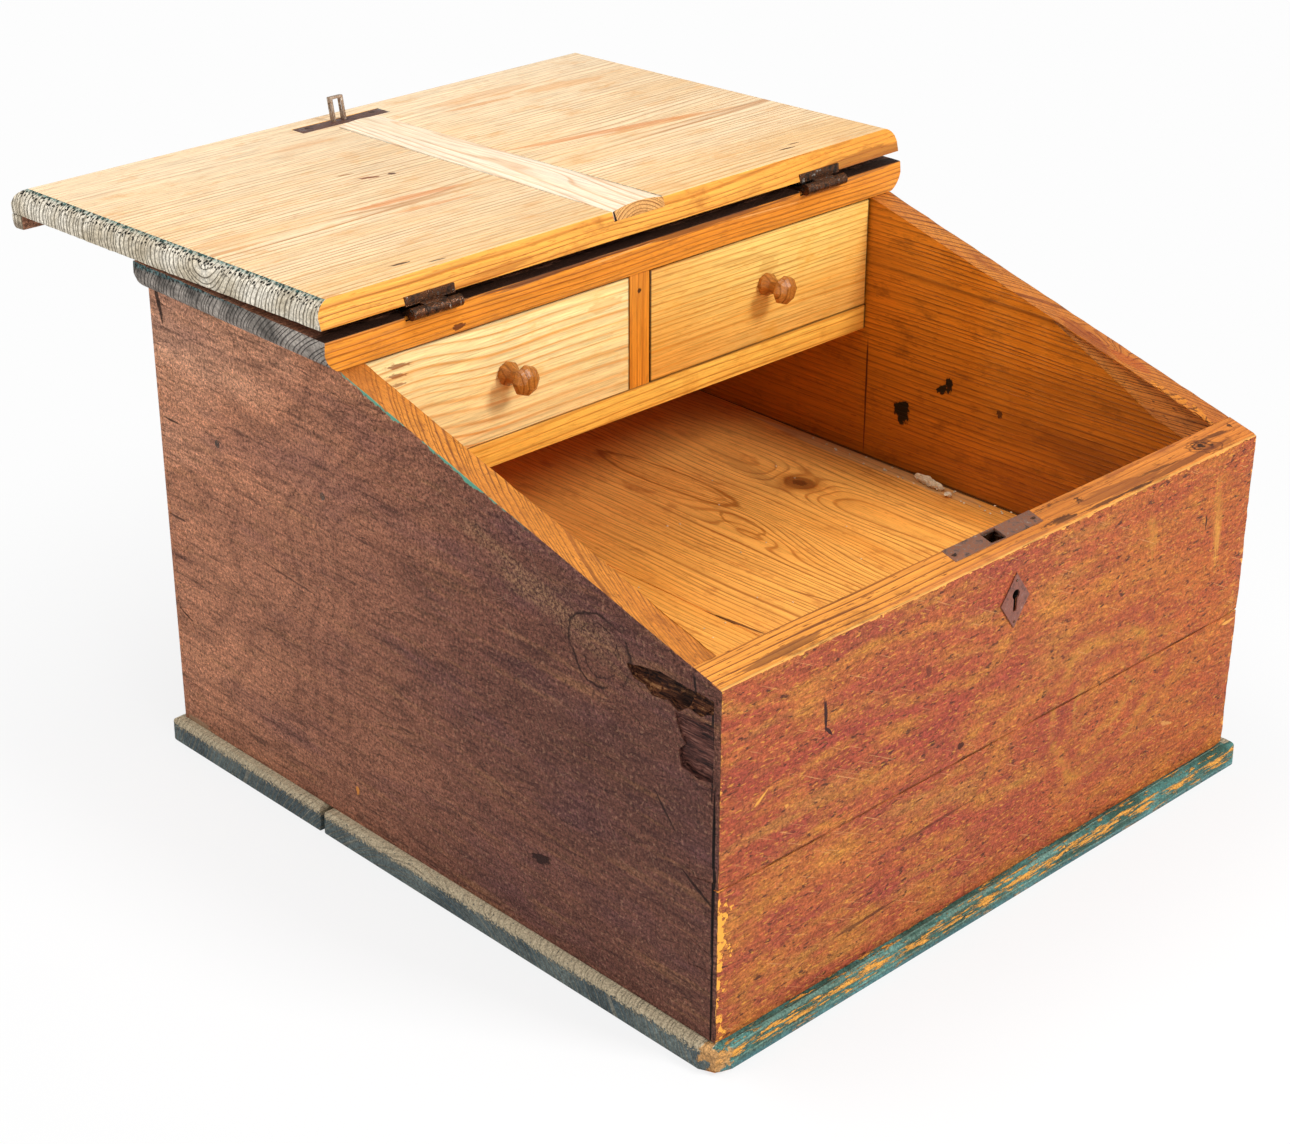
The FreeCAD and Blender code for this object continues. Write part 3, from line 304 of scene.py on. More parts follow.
def pine(name, grain, pith, ring, taper, wander, seed, early, late, patch, depth=0.8, roughness=0.5,
         swells=(), fades=(), marks=(), grime=None, flecks=0.3, raised=0.3):
    """Sawn and planed pine, darkened by age and handling: hard rings that stand out against the soft
    wood, cloudy patches, fine fibres, and a dull satin where hands have rubbed it. The ring is the
    rings' spacing in mm. A fade is its axis, start, end, colour and share, and marks come in groups
    as marks_on takes them."""
    material, mm, place = new_finish(name, grain, roughness)
    rings = growth_rings(place, pith, ring, taper, wander, seed, swells)
    strength = put("MapRange", [streaks(place, 140, 14, seed + 5), 0.3, 0.7, depth * 0.6, depth])
    colour = put("MixRGB", [put("Math.MULTIPLY", [rings, strength]), early, late])
    colour = lay_over(colour, (streaks(place, 160, 30, seed + 9, 3, 0.5, 0.42, 0.7, 0.6), patch, 1),
                      *((fade(mm, axis, start, end), top, share) for axis, start, end, top, share in fades))
    fibre = streaks(place, 40, 1.3, seed + 3, 3, 0.7)
    colour = darken(colour, fibre, 0.72, 1.2)
    colour = lay_over(colour, (streaks(place, 9, 0.9, seed + 7, 1, 0.5, 0.64, 0.72, flecks), late, 1))
    if grime:
        dirt = streaks(place, 34, 16, seed + 21, 5, 0.7, 0.54, 0.74, 0.75)
        colour = lay_over(colour, (dirt, grime, 1))
    for group in marks:
        colour = lay_over(colour, *marks_on(mm, *group))
    return dress(material, colour, put("Math.MULTIPLY_ADD", [rings, 0.6, fibre]), raised)


def iron(name, base, worn, rust, dark, metallic, roughness):
    """Hand-forged iron, browned by age: dark hollows, rust, and rubbed spots that catch the light."""
    material, mm, _ = new_finish(name, "x", roughness, 0.5)
    patches = put("TexNoise", {"Vector": mm, "Scale": 0.24, "Detail": 5, "Roughness": 0.7})
    colour = put("ValToRGB", [patches],
                 stops=((0.3, dark), (0.44, base), (0.52, rust), (0.6, base), (0.72, worn)))
    shader = material.node_tree.nodes[SHADER]
    shader.inputs["Metallic"].default_value = metallic
    rough = put("MapRange", [patches, 0.3, 0.7, roughness + 0.25, roughness - 0.14])
    material.node_tree.links.new(rough.outputs[0], shader.inputs["Roughness"])
    pits = put("TexNoise", {"Vector": mm, "Scale": 0.8, "Detail": 3, "Roughness": 0.6})
    return dress(material, colour, pits, 0.5)


# knocks, cuts and the open front joint on the left side: y, z, half sizes, turn, colour, share
SIDE_KNOCKS = (
    (-110, 73, 8, 3.5, 15, "#2a1410", 0.95), (63, 43, 1.6, 3.2, 0, "#d98a3e", 0.9),
    (-248.5, 100, 1.1, 100, 0, "#0a0403", 0.95), (-246.5, 205, 0.9, 32, 0, "#0a0403", 0.9),
    (-233, 237, 0.9, 7, 8, "#140806", 0.9), (-212, 150, 13, 0.9, -50, "#1c0d0a", 0.8),
    (120, 170, 26, 0.8, -4, "#2a1512", 0.6), (-238, 112, 15, 1.2, -30, "#190a07", 0.85),
    (242, 318, 2, 12, 14, "#1c0e0a", 0.9), (238, 240, 8, 0.8, 0, "#26130f", 0.8),
    (240, 171, 9, 0.9, 0, "#26130f", 0.8), (240, 100, 8, 0.8, -20, "#26130f", 0.8),
    (236, 18.5, 12, 5, 0, "#9b8468", 0.6))


def brown_paint(name, grain, side=True):
    """Old brown oil paint, thin over the board: dull, streaked along the grain, scuffed and specked.
    The sides also carry their own knocks, knot and open joint."""
    material, mm, place = new_finish(name, grain, 0.6, 0.13)
    cloud = streaks(place, 170, 60, 6, 3, 0.55)
    # partly the paint's own fading and partly painted light: the paint is drawn lighter towards the back, and at
    # the back lighter still towards the top, where more light falls; the cloud adds its own uneven tone
    lit_towards_back = fade(mm, "Y", -250, 260)
    lit_towards_top = put("Math.MULTIPLY", [fade(mm, "Z", 150, 330), lit_towards_back])
    tone_and_painted_light = put("Math.MULTIPLY_ADD", [cloud, 0.7, lit_towards_back])
    tone_and_painted_light = put("Math.MULTIPLY", [put("Math.MULTIPLY_ADD", [lit_towards_top, 0.45, tone_and_painted_light]), 0.5])
    colour = put("ValToRGB", [tone_and_painted_light], stops=((0.10, "#56352d"), (0.32, "#714739"), (0.54, "#8f5d47"),
                                            (0.74, "#b67b5c"), (1, "#dca584")))
    rings = growth_rings(place, (100, 150), 11, 0.12, 10, 4, ((133, -240, 60, 400, 26),))
    colour = lay_over(colour, (streaks(place, 120, 26, 31, 3, 0.6, 0.52, 0.7, 0.4), "#5c3b42", 1),
                      (rings, "#452721", 0.28),
                      (streaks(place, 90, 7, 2, 5, 0.65, 0.54, 0.72, 0.5), "#9a6c48", 1),
                      (streaks(place, 50, 3.2, 12, 4, 0.6, 0.54, 0.72, 0.7), "#3a211d", 1))
    grit = put("TexNoise", {"Vector": mm, "Scale": 0.5, "Detail": 4, "Roughness": 0.9})
    fine = streaks(place, 7, 1.5, 5, 2, 0.7)
    colour = darken(darken(colour, grit, 0, 2.2), fine, 0.66, 1.34)
    height = put("Math.MULTIPLY_ADD", [fine, 1, grit])
    if not side:
        # painted shade: near the lid's hinge edge this paint is drawn near-black in streaks, for the shade in the
        # gap between the lid and the top
        near_lid = put("Math.MULTIPLY", [fade(mm, "Y", 78, 62), 0.6])
        near_lid = put("Math.ADD", [streaks(place, 30, 5, 8, 4, 0.7), near_lid])
        lid_gap_shade = put("MapRange", [near_lid, 0.68, 0.84])
        return dress(material, lay_over(colour, (cloud, "#2f1d18", 0.9), (lid_gap_shade, "#160b07", 0.9)), height, 0.5)

    dust = blot(mm, (-SIDE_X, -115, 246), (20, 60, 9), (-16, 0, 0), 0.9, 1.4)
    dust = put("Math.MULTIPLY", [dust, put("MapRange", [grit, 0.46, 0.60, 0, 0.8])])
    pits = put("TexNoise", {"Vector": mm, "Scale": 0.42, "Detail": 2, "Roughness": 0.6})
    colour = lay_over(colour, (dust, "#b48c62", 0.8), (put("MapRange", [grit, 0.66, 0.74, 0, 0.7]), "#c08c62", 1),
                      (put("MapRange", [pits, 0.57, 0.66, 0, 0.5]), "#3c231d", 1),
                      (put("MapRange", [pits, 0.40, 0.32, 0, 0.35]), "#b88a6c", 1))
    for degrees, seed in ((24, 1), (-32, 4), (63, 9)):
        colour = lay_over(colour, (scratches(place, degrees, seed, 0.73), "#9c7a64", 0.5))
    for degrees, seed in ((8, 14), (-14, 24), (30, 27)):
        colour = lay_over(colour, (scratches(place, degrees, seed, 0.71, 22, 1.1), "#24120f", 0.55))
    open_part = streaks(place, 26, 15, 3, 1, 0.5, 0.44, 0.54)
    for size, thick in (((9, 25, 23), 0.07), ((6, 15, 17), 0.05)):
        outline = blot(mm, (-SIDE_X, -160, 229), size, (0, 0, 0), 0.1, 0.06, thick)
        colour = lay_over(colour, (put("Math.MULTIPLY", [outline, open_part]), "#1c0d0a", 0.85))
    # a trace of the lid's green along the slope, bare wood on the arrises
    slope = ((SLOPE_NORMAL, SLOPE_CUT),)
    rubbed = put("Math.MULTIPLY", [chips(mm, slope, 2.2, 0.36, 16), fade(mm, "Y", -110, -60)])
    ends = (((0, -1, 0), FRONT_Y), ((0, 1, 0), FRONT_Y))
    colour = lay_over(colour, (rubbed, "#5fa890", 0.9), (chips(mm, slope, 1.6, 0.50, 9, 12), "#b06a3a", 0.8),
                      (chips(mm, ends, 3.5, 0.56, 8, 40), "#c27a3c", 0.8),
                      *marks_on(mm, "x", -SIDE_X, 5, SIDE_KNOCKS))
    return dress(material, colour, height, 0.55)


# scratches, knocks and worn places on the front: x, z, half sizes, turn, colour, share, rim
FRONT_KNOCKS = (
    (-159, 195, 1.3, 10, 4, "#2a1418", 0.95), (-156, 184, 1.1, 4.5, 42, "#2a1418", 0.95),
    (-73, 190, 2.4, 4, 20, "#5a2c22", 0.7), (-40, 128, 3, 2.2, 0, "#3a1710", 0.9),
    (205, 190, 4, 28, 6, "#c88a38", 0.4, 0.9, 1.2), (206, 180, 2.4, 14, 6, "#e2a44a", 0.35, 1.4, 0.8),
    (135, 205, 4, 14, 10, "#c88a38", 0.4, 0.8, 1), (192, 196, 0.8, 5, 0, "#2a120c", 0.9),
    (170, 60, 6, 1.4, -20, "#dca058", 0.6, 0.9, 0.6), (230, 112, 7, 1.2, 0, "#e8a850", 0.8),
    (-209, 163, 6, 1, 35, "#e0a046", 0.9, 0.6, 0.5), (-120, 44, 26, 1.2, 2, "#4a2218", 0.7),
    (-60, 84, 30, 1, 2, "#4a2218", 0.6), (-188, 150, 1.4, 1.2, 0, "#e2a24c", 0.7, 0.8, 0.5))


def grained_front_paint():
    """Red-brown paint worked over ochre with a rag and a comb to look like mahogany, then knocked,
    specked and chipped to the pale wood on its arrises."""
    material, mm, place = new_finish("grained_red_brown_paint_chipped", "x", 0.56, 0.14)
    bands = put("Math.MULTIPLY", [streaks(place, 210, 62, 3.4, 1.5, 0.45), 6.5])
    bands = put("Math.PINGPONG", [bands, 0.5])
    bands = put("MapRange", [bands, 0.05, 0.5], interpolation_type="SMOOTHSTEP")
    broken = streaks(place, 40, 14, 17, 5, 0.75, 0.38, 0.62)
    swirl = put("Math.MULTIPLY", [bands, broken])
    colour = put("MixRGB", [streaks(place, 180, 50, 12, 3, 0.5, 0.36, 0.66), "#a04834", "#b06034"])
    colour = lay_over(colour, (swirl, "#bf8034", 0.75),
                      (streaks(place, 80, 15, 23, 5, 0.7, 0.48, 0.64, 0.7), "#933e36", 1),
                      (streaks(place, 110, 18, 53, 4, 0.7, 0.54, 0.68, 0.6), "#b07a3a", 1),
                      (fade(mm, "X", -40, 240), "#b85c1c", 0.35))
    grit = put("TexNoise", {"Vector": mm, "Scale": 0.5, "Detail": 4, "Roughness": 0.9})
    fine = streaks(place, 10, 1.6, 5, 2, 0.7)
    colour = darken(darken(colour, grit, 0.30, 1.62), fine, 0.72, 1.2)
    colour = lay_over(colour, (streaks(place, 7, 2.6, 5, 2.5, 0.6, 0.62, 0.68, 0.85), "#43251e", 1),
                      (streaks(place, 5, 1.7, 85, 2.5, 0.6, 0.57, 0.64, 0.5), "#5c2c1c", 1),
                      (streaks(place, 6, 1.7, 45, 2.5, 0.6, 0.58, 0.66, 0.6), "#dd9c42", 1),
                      (scratches(place, 34, 2, 0.71), "#4a2519", 0.7),
                      (scratches(place, -28, 6, 0.72), "#d59a62", 0.6))
    # the comb's arcs at the right, each as its half sizes and colour
    for across, high, tint in ((66, 60, "#8c3830"), (54, 49, "#b98434"), (43, 38, "#8c3830"), (30, 26, "#bd8a3c")):
        arc = blot(mm, (96, -252, 106), (across, 9, high), (0, -6, 0), 0.22, 0.12, 0.13)
        colour = lay_over(colour, (put("Math.MULTIPLY", [arc, broken]), tint, 0.5))
    colour = lay_over(colour, *marks_on(mm, "y", -252, 6, FRONT_KNOCKS))
    # the open joint between the two planks, dark with a few pale chips
    joint = put("VectorMath.DOT_PRODUCT", [mm, (0, 0, 1)])
    joint = put("Math.ABSOLUTE", [put("Math.SUBTRACT", [(joint, "Value"), 118])])
    dark = put("Math.MULTIPLY", [put("MapRange", [joint, 0.9, 0.3, 0, 0.8]),
                                 streaks(place, 40, 9, 3, 3, 0.6, 0.34, 0.56)])
    left, right, top = ((-1, 0, 0), SIDE_X), ((1, 0, 0), SIDE_X), ((0, 0, 1), FRONT_HEIGHT)
    low_left = put("Math.MULTIPLY", [fade(mm, "Z", 118, 112), chips(mm, (left,), 15, 0.47, 7, 71)])
    colour = lay_over(colour, (dark, "#3d1c10", 1), (chips(mm, (right, left), 4.5, 0.50, 6), "#f0a64a", 1),
                      (fade(mm, "X", -238.6, -239.6), "#3a160c", 0.75),
                      (chips(mm, (top,), 2.2, 0.50, 7, 30), "#f0a650", 1), (low_left, "#f3a844", 1))
    height = put("Math.MULTIPLY_ADD", [fine, 1, grit])
    return dress(material, colour, put("Math.MULTIPLY_ADD", [dark, -2, height]), 0.45)


def weathered_end(name, pith, ring, pale, mid, line, pit, face_cut, pits_deep, seed, tint="#5d8f88",
                  low="#7d6a58"):
    """End grain that has lost its paint: hard rings stand proud and pale, soft wood is eaten into
    pits under the upper arris, and a little green stays in the hollows."""
    material, mm, place = new_finish(name, "x", 0.75, 0.2)
    rings = growth_rings(place, pith, ring, 0, 2.5, seed)
    rough = put("TexNoise", {"Vector": mm, "Scale": 0.42, "Detail": 4, "Roughness": 0.7})
    cloud = put("TexNoise", {"Vector": mm, "Scale": 0.035, "Detail": 3})
    colour = put("MixRGB", [put("MapRange", [cloud, 0.38, 0.62]), mid, pale])
    colour = lay_over(colour, (put("MapRange", [rings, 0.3, 0.9, 0, 0.85]), line, 1))
    colour = darken(colour, rough, 0.42, 1.4)
    depth = reach_of(mm, LID_NORMAL, face_cut)
    upper = put("MapRange", [depth, pits_deep, 0, 0, 0.30])
    holes = put("TexVoronoi", {"Vector": mm, "Scale": 0.42}, feature="F1")
    holes = put("Math.SUBTRACT", [(holes, "Distance"), upper])
    pitted = put("MapRange", [put("Math.MULTIPLY_ADD", [rough, 0.9, holes]), 0.70, 0.54])
    pitted = put("Math.MULTIPLY", [pitted, put("MapRange", [depth, pits_deep, pits_deep * 0.6])])
    green = put("MapRange", [depth, 2.2, 0.6])
    green = put("Math.MULTIPLY", [green, put("MapRange", [rough, 0.4, 0.6])])
    colour = lay_over(colour, (put("MapRange", [depth, pits_deep, 1, 0, 0.35]), mid, 1), (pitted, pit, 1),
                      (green, tint, 1), (put("MapRange", [depth, 19, 24, 0, 0.7]), low, 1))
    height = put("Math.MULTIPLY_ADD", [rings, 0.8, rough])
    return dress(material, colour, put("Math.MULTIPLY_ADD", [pitted, -1.6, height]), 1.3)


def green_paint(name, grain, pith, ring, ground, deep, pale, chip, chips_wide, often, share, seed, edge=False):
    """Blue-green paint on the base: rubbed pale on the hard rings, chipped to the wood on the
    arrises, and worn right away at the front corner. On the front edge it turns bluer at the foot."""
    material, mm, place = new_finish(name, grain, 0.66, 0.25)
    rings = growth_rings(place, pith, ring, 0, 3, seed)
    rough = put("TexNoise", {"Vector": mm, "Scale": 0.4, "Detail": 4, "Roughness": 0.7})
    cloud = put("TexNoise", {"Vector": mm, "Scale": 0.03, "Detail": 3})
    colour = put("MixRGB", [put("MapRange", [cloud, 0.38, 0.62]), deep, ground])
    colour = darken(lay_over(colour, (rings, pale, share * 0.5)), rough, 0.5, 1.35)
    high = (put("SeparateXYZ", [mm]), "Z")
    if edge:
        rise = put("Math.ABSOLUTE", [put("Math.SUBTRACT", [high, 11.5])])
        rise = put("MapRange", [rise, 1, 6, 0.03, -0.07])
    else:
        rise = put("MapRange", [high, 9, 15, -0.10, 0.20])
    moved = put("VectorMath.ADD", [place, (seed, seed, seed)])
    bare = put("Math.ADD", [streaks(moved, *chips_wide, seed, 5, 0.72), rise])
    bare = put("MapRange", [bare, often, often + 0.03])
    colour = lay_over(colour, (bare, chip, 1))
    if edge:
        colour = lay_over(colour, (fade(mm, "Z", 6, 1.5), "#5c8c98", 0.5))
    worn = blot(mm, (-246, -258, 10), (11, 11, 11), (0, 0, 0), 1, 0.3)
    colour = lay_over(colour, (worn, "#d29a5a", 0.85))
    colour = darken(colour, put("TexNoise", {"Vector": mm, "Scale": 0.9, "Detail": 2}), 0.6, 1.3)
    height = put("Math.MULTIPLY_ADD", [rings, 0.9, rough])
    return dress(material, colour, put("Math.MULTIPLY_ADD", [bare, -0.5, height]), 0.9)


def split_wood():
    """Broken pine inside a tear: long raw splinters, tan on the ridges, with painted shade that makes them dark in
    the depths.
    """
    material, mm, place = new_finish("splintered_pine", "y", 0.7, 0.2)
    fibres = streaks(place, 26, 1.5, 1, 4, 0.7)
    fresh = put("ValToRGB", [fibres], stops=((0.34, "#180b07"), (0.45, "#43241a"), (0.56, "#7c4a2e"),
                                             (0.68, "#c48c5c")))
    dull = put("ValToRGB", [fibres], stops=((0.36, "#150908"), (0.48, "#42231e"), (0.58, "#6e4238"),
                                            (0.72, "#94695a")))
    colour = put("MixRGB", [fade(mm, "Z", 219, 213), fresh, dull])
    # painted shade: the wood deeper in the tear is drawn near-black
    return dress(material, lay_over(colour, (fade(mm, "X", -236, -231.5), "#0e0604", 0.85)), fibres, 1.6)


# Each pine is its name, the way of its grain, where its pith lies, its rings' spacing, how they taper
# and wander, a seed, the colours of soft wood, hard wood and patches, the rings' depth, its roughness.

# the lid's inside: pale satin pine, long reddish flames and a few dark knots along straight rings
lid_pine = pine(
    "pine_lid_inside_honey", "x", (178, 372), 4.4, 0.004, 2.6, 1, "#fde0b4", "#b66c28", "#f4c68c", 0.9,
    swells=((110, 205, 95, 13, 8), (-80, 183, 60, 9, 5), (-30, 330, 220, 26, 7)),
    fades=(("Y", 150, 62, "#eeb668", 0.45), ("Y", 230, 400, "#fde4c0", 0.6)),
    marks=(
        ("z", 366, 8, ((-89, 184, 42, 4.5, 3, "#de8340", 0.6), (-85, 161, 30, 2.6, 4, "#de8a48", 0.5))),
        ("z", 365, 8, ((105, 203, 75, 4, 10, "#da8240", 0.6), (150, 190, 60, 2.4, 6, "#e09a5c", 0.6),
         (-223, 197, 22, 6, 0, "#e6a768", 0.3))),
        ("z", 361, 8, ((106, 339, 46, 9, 0, "#e7a566", 0.35), (90, 322, 30, 3, 3, "#d98a44", 0.5),
         (-60, 330, 26, 5, 0, "#e3a064", 0.3))),
        ("z", 362, 8, ((169, 318, 34, 8, 8, "#e9ac70", 0.5),)),
        ("z", 364, 8, ((-75, 237, 7, 2, 20, "#8a4416", 0.9), (-59, 233, 2.6, 2.4, 0, "#57290f", 0.9),
         (-82, 253, 6, 1.3, 10, "#a8662c", 0.8))),
        ("z", 368, 8, ((-173, 84, 7, 1.3, 4, "#4a2c16", 0.9), (159, 83, 7, 1.1, 6, "#5a3216", 0.9),
         (171, 88, 5, 0.9, 6, "#6d3d1a", 0.8), (-239, 62, 12, 8, 0, "#c98238", 0.5))),
        ("z", 369, 8, ((-153, 73.5, 6, 0.8, 4, "#4f4a44", 0.9),))),
    grime="#e2a765", flecks=0.4)
# edges under the lid and the flat top: oiled to a strong orange, with smears of old grime
lid_edge_pine = pine(
    "pine_lid_edge_oiled", "x", (178, 372), 1.9, 0.004, 2, 1, "#ffb850", "#b05a0c", "#f0982e", 0.9, 0.42,
    fades=(("X", 60, 250, "#e58f2c", 0.5),),
    marks=(
        ("y", 62, 8, ((205, 352, 50, 9, 4, "#7c3d12", 0.55),)),
        ("y", 60, 8, ((-120, 356, 40, 3, 3, "#b06118", 0.5),))),
    grime="#a85a16", flecks=0.5)
# newer wood on the lid: almost white, open grain, dark only on its sawn end
batten_pine = pine(
    "pine_batten_pale", "y", (16, 352), 3.8, 0.05, 5, 7, "#ffecd0", "#dd9c60", "#fadcb4", roughness=0.55,
    swells=((180, 8, 70, 9, 9),),
    flecks=0.15)
batten_end = pine(
    "pine_batten_end", "y", (4, 340), 1.9, 0, 1.5, 9, "#ecb46c", "#7f3e10", "#c88440", 1, 0.6,
    marks=(("y", 66, 8, ((-16.5, 362, 1.2, 9, 0, "#1c0e06", 1),)),),
    grime="#a86a30")
# the well's floor: glowing orange-brown, big arched rings, one knot
floor_pine = pine(
    "pine_well_floor_honey", "y", (150, 118), 4.2, 0.02, 7, 3, "#ffb858", "#9c4a0a", "#f29c3c", 0.95, 0.46,
    swells=((53, 150, 30, 17, 16), (44, 84, 62, 15, 22), (16, 66, 34, 8, 12), (-120, 20, 90, 30, 8)),
    # painted light: the first two fades lighten the floor to its left and towards the back, where the left wall and
    # the shelf shade it; the third lightens it towards the front
    fades=(("X", 60, -120, "#ffb452", 0.5), ("Y", 10, 130, "#ffbc68", 0.3), ("Y", -60, -200, "#ffbc68", 0.3)),
    marks=(("z", 135, 8, ((88, 122, 13, 70, -2, "#a0520e", 0.75, 0.12, 0.1, 0.13),
        (89, 126, 7.5, 62, -2, "#a85a14", 0.5, 0.12, 0.1, 0.12),
        (73, 34, 7, 24, 6, "#a0520e", 0.6, 0.15, 0.1, 0.16), (150, 53, 14, 19, 0, "#a8601c", 0.5, 0.15, 0.6),
        (150, 53, 9, 13, 0, "#7a3c12", 0.75, 0.1, 0.4), (150, 53, 4, 6, 0, "#5a2a0c", 0.7),
        (140, 92, 6, 34, 10, "#8a5a2c", 0.35, 0.6, 1.6), (212, 40, 7, 110, 0, "#cdb084", 0.45),
        # the near-black line at x 219.5 is painted shade in the crease along the right wall's foot
        (219.5, 0, 1.2, 260, 0, "#2a1206", 0.9), (-34, -65, 1.2, 26, -6, "#5a2c0e", 0.9),
        (28, -72, 0.8, 20, -14, "#8a4a18", 0.7))),),
    grime="#b5682a", flecks=0.5)
# walls inside: darkest honey, nearly closed grain, with burnt knots and a shadowed foot
side_pine = pine(
    "pine_inside_wall_dark_honey", "y", (120, -160), 3.8, 0.01, 2.6, 5, "#dc821c", "#5c2a06", "#a45c10", 1, 0.42,
    fades=(("Z", 220, 130, "#a8500a", 0.4), ("Z", 262, 200, "#8a4c10", 0.25), ("Z", 136, 134.4, "#1c0a03", 0.9),
           ("Y", 5, 50, "#e08a20", 0.3), ("Y", -30, -190, "#7c3e0c", 0.3)),
    marks=(("x", 221, 6, ((23, 177.5, 6.5, 9, 10, "#0c0705", 1), (20, 183, 3, 4, 0, "#0c0705", 1),
        (-12, 205, 5, 3.2, 35, "#0c0705", 1), (-18, 210, 3, 6, 0, "#0c0705", 1),
        (-63, 202, 2.4, 3, 0, "#3a1a08", 0.9), (57, 185, 0.8, 45, 0, "#431c07", 0.9),
        (-150, 195, 50, 14, 0, "#6a2e0c", 0.3), (-100, 160, 45, 12, 0, "#7d3a10", 0.3))),),
    grime="#6a380c", flecks=0.5)
# sawn slopes: short close rings, rubbed and reddened by sleeves
left_slope = pine(
    "pine_left_slope_sawn", "y", (-172, 198), 1.5, 0, 0.8, 15, "#d6862f", "#6a300c", "#b96a26", 0.95,
    fades=(("Y", 20, 70, "#b8702c", 0.6),),
    marks=(("z", 250, 8, ((-229, -190, 7, 9, 0, "#8a4a1a", 0.5),)),),
    grime="#7d4418", flecks=0.7)
right_slope = pine(
    "pine_right_slope_reddened", "y", (190, 188), 1.7, 0, 0.8, 19, "#d08030", "#4a1404", "#b45e22", 1, 0.42,
    swells=((-138, 229, 24, 7, 9),),
    fades=(("Y", -60, -250, "#a85424", 0.4),),
    marks=(
        ("z", 274, 14, ((224, -130, 7, 26, 10, "#7a2410", 0.45),)),
        ("z", 266, 14, ((230, -160, 5, 16, -8, "#a83c14", 0.4),))),
    grime="#8a4018", flecks=0.4)
# boards round the drawers: clear yellow pine with a soft sheen; the shelf's dark strip under the drawers and at the
# right wall is painted shade in the gaps
rail_pine = pine(
    "pine_shelf_edge", "x", (140, 300), 3.4, 0, 3, 6, "#ffc254", "#bd6a10", "#eea238", 0.9,
    fades=(("Z", 247, 248, "#3a1a08", 0.7), ("X", 218.5, 220.5, "#1c0a04", 0.9)),
    grime="#cf8a30")
# the top board's front turns near-black at its upper arris: painted shade in the gap under the lid's edge
top_pine = pine(
    "pine_top_board_front", "x", (140, 420), 2.8, 0, 4, 8, "#ee952a", "#96470a", "#d87e1c", 0.95, 0.48,
    fades=(("Z", 334, 327, "#e2983c", 0.3), ("Z", 345, 346.2, "#1c0c08", 0.85)),
    marks=(("y", 59, 8, ((-75, 345, 60, 1.5, 0, "#4a2010", 0.75, 0.9, 0.5),
        (60, 344.5, 70, 1.6, 0, "#5a2814", 0.7, 0.9, 0.5), (190, 343.4, 40, 0.9, 2, "#6a4638", 0.5, 0.9, 0.5),
        (-100, 343.2, 26, 0.6, 1, "#6e4a3c", 0.5, 0.9, 0.5), (-20, 342.8, 26, 0.6, 2, "#f2b468", 0.6, 0.9, 0.5),
        (-150, 330, 5, 2, 0, "#6b3412", 0.9), (110, 341, 30, 0.5, -2, "#f2b870", 0.5, 0.9, 0.5))),),
    grime="#b06a24", flecks=0.4)
# the front's upper edge, where hands rest: worn, bruised and dark in its cracks
front_top_pine = pine(
    "pine_front_top_edge", "x", (-230, 262), 2.6, 0, 3, 2, "#e8963c", "#6f340c", "#c46c20", 1,
    fades=(("X", 20, 235, "#c66e2c", 0.7), ("Y", -250, -251, "#f4b860", 0.6),
           ("Y", -251.6, -252.2, "#e0641c", 0.8)),
    marks=(("z", 241, 6, ((70, -240, 120, 9, 0, "#b0642a", 0.4),
        (194, -241, 15, 7, 20, "#4a200c", 0.7, 0.25, 0.12, 0.13), (194, -241, 10, 5, 20, "#7a3c16", 0.6),
        (194, -241, 9, 4.4, 20, "#2c1208", 0.85, 0.25, 0.12, 0.2), (194, -241, 3.4, 2, 20, "#140804", 0.9),
        (48, -247, 12, 2.6, 2, "#3a1c10", 0.8, 1, 0.4), (50, -233.5, 9, 1.2, -3, "#2a140c", 0.85, 0.9, 0.4),
        (74, -239, 3, 2.2, 0, "#2c140a", 0.85, 0.9, 0.4), (86, -248.6, 18, 1.3, 0, "#4a2414", 0.8, 1, 0.4),
        (118, -249, 14, 1.2, 1, "#35180e", 0.8, 1, 0.4), (142, -243, 22, 0.9, 2, "#4a2210", 0.75, 0.9, 0.4),
        (16, -248.6, 16, 1.3, 1, "#4a2414", 0.75, 1, 0.4), (231, -236, 2.5, 2.5, 0, "#2a140a", 0.85),
        (100, -243, 40, 4, 3, "#8a4a20", 0.7), (60, -234, 50, 1.2, 1, "#5a2810", 0.7),
        (-190, -246, 30, 3, -3, "#7d4620", 0.7), (-150, -240, 45, 1, 1, "#6b3414", 0.7),
        (170, -247, 40, 2, -2, "#6b3418", 0.7), (210, -238, 20, 1.6, 4, "#4a200e", 0.8),
        (150, -232, 60, 3, 0, "#a2552a", 0.6), (-30, -249, 90, 2, 0, "#c4763a", 0.6))),),
    grime="#5f3012", flecks=0.9)
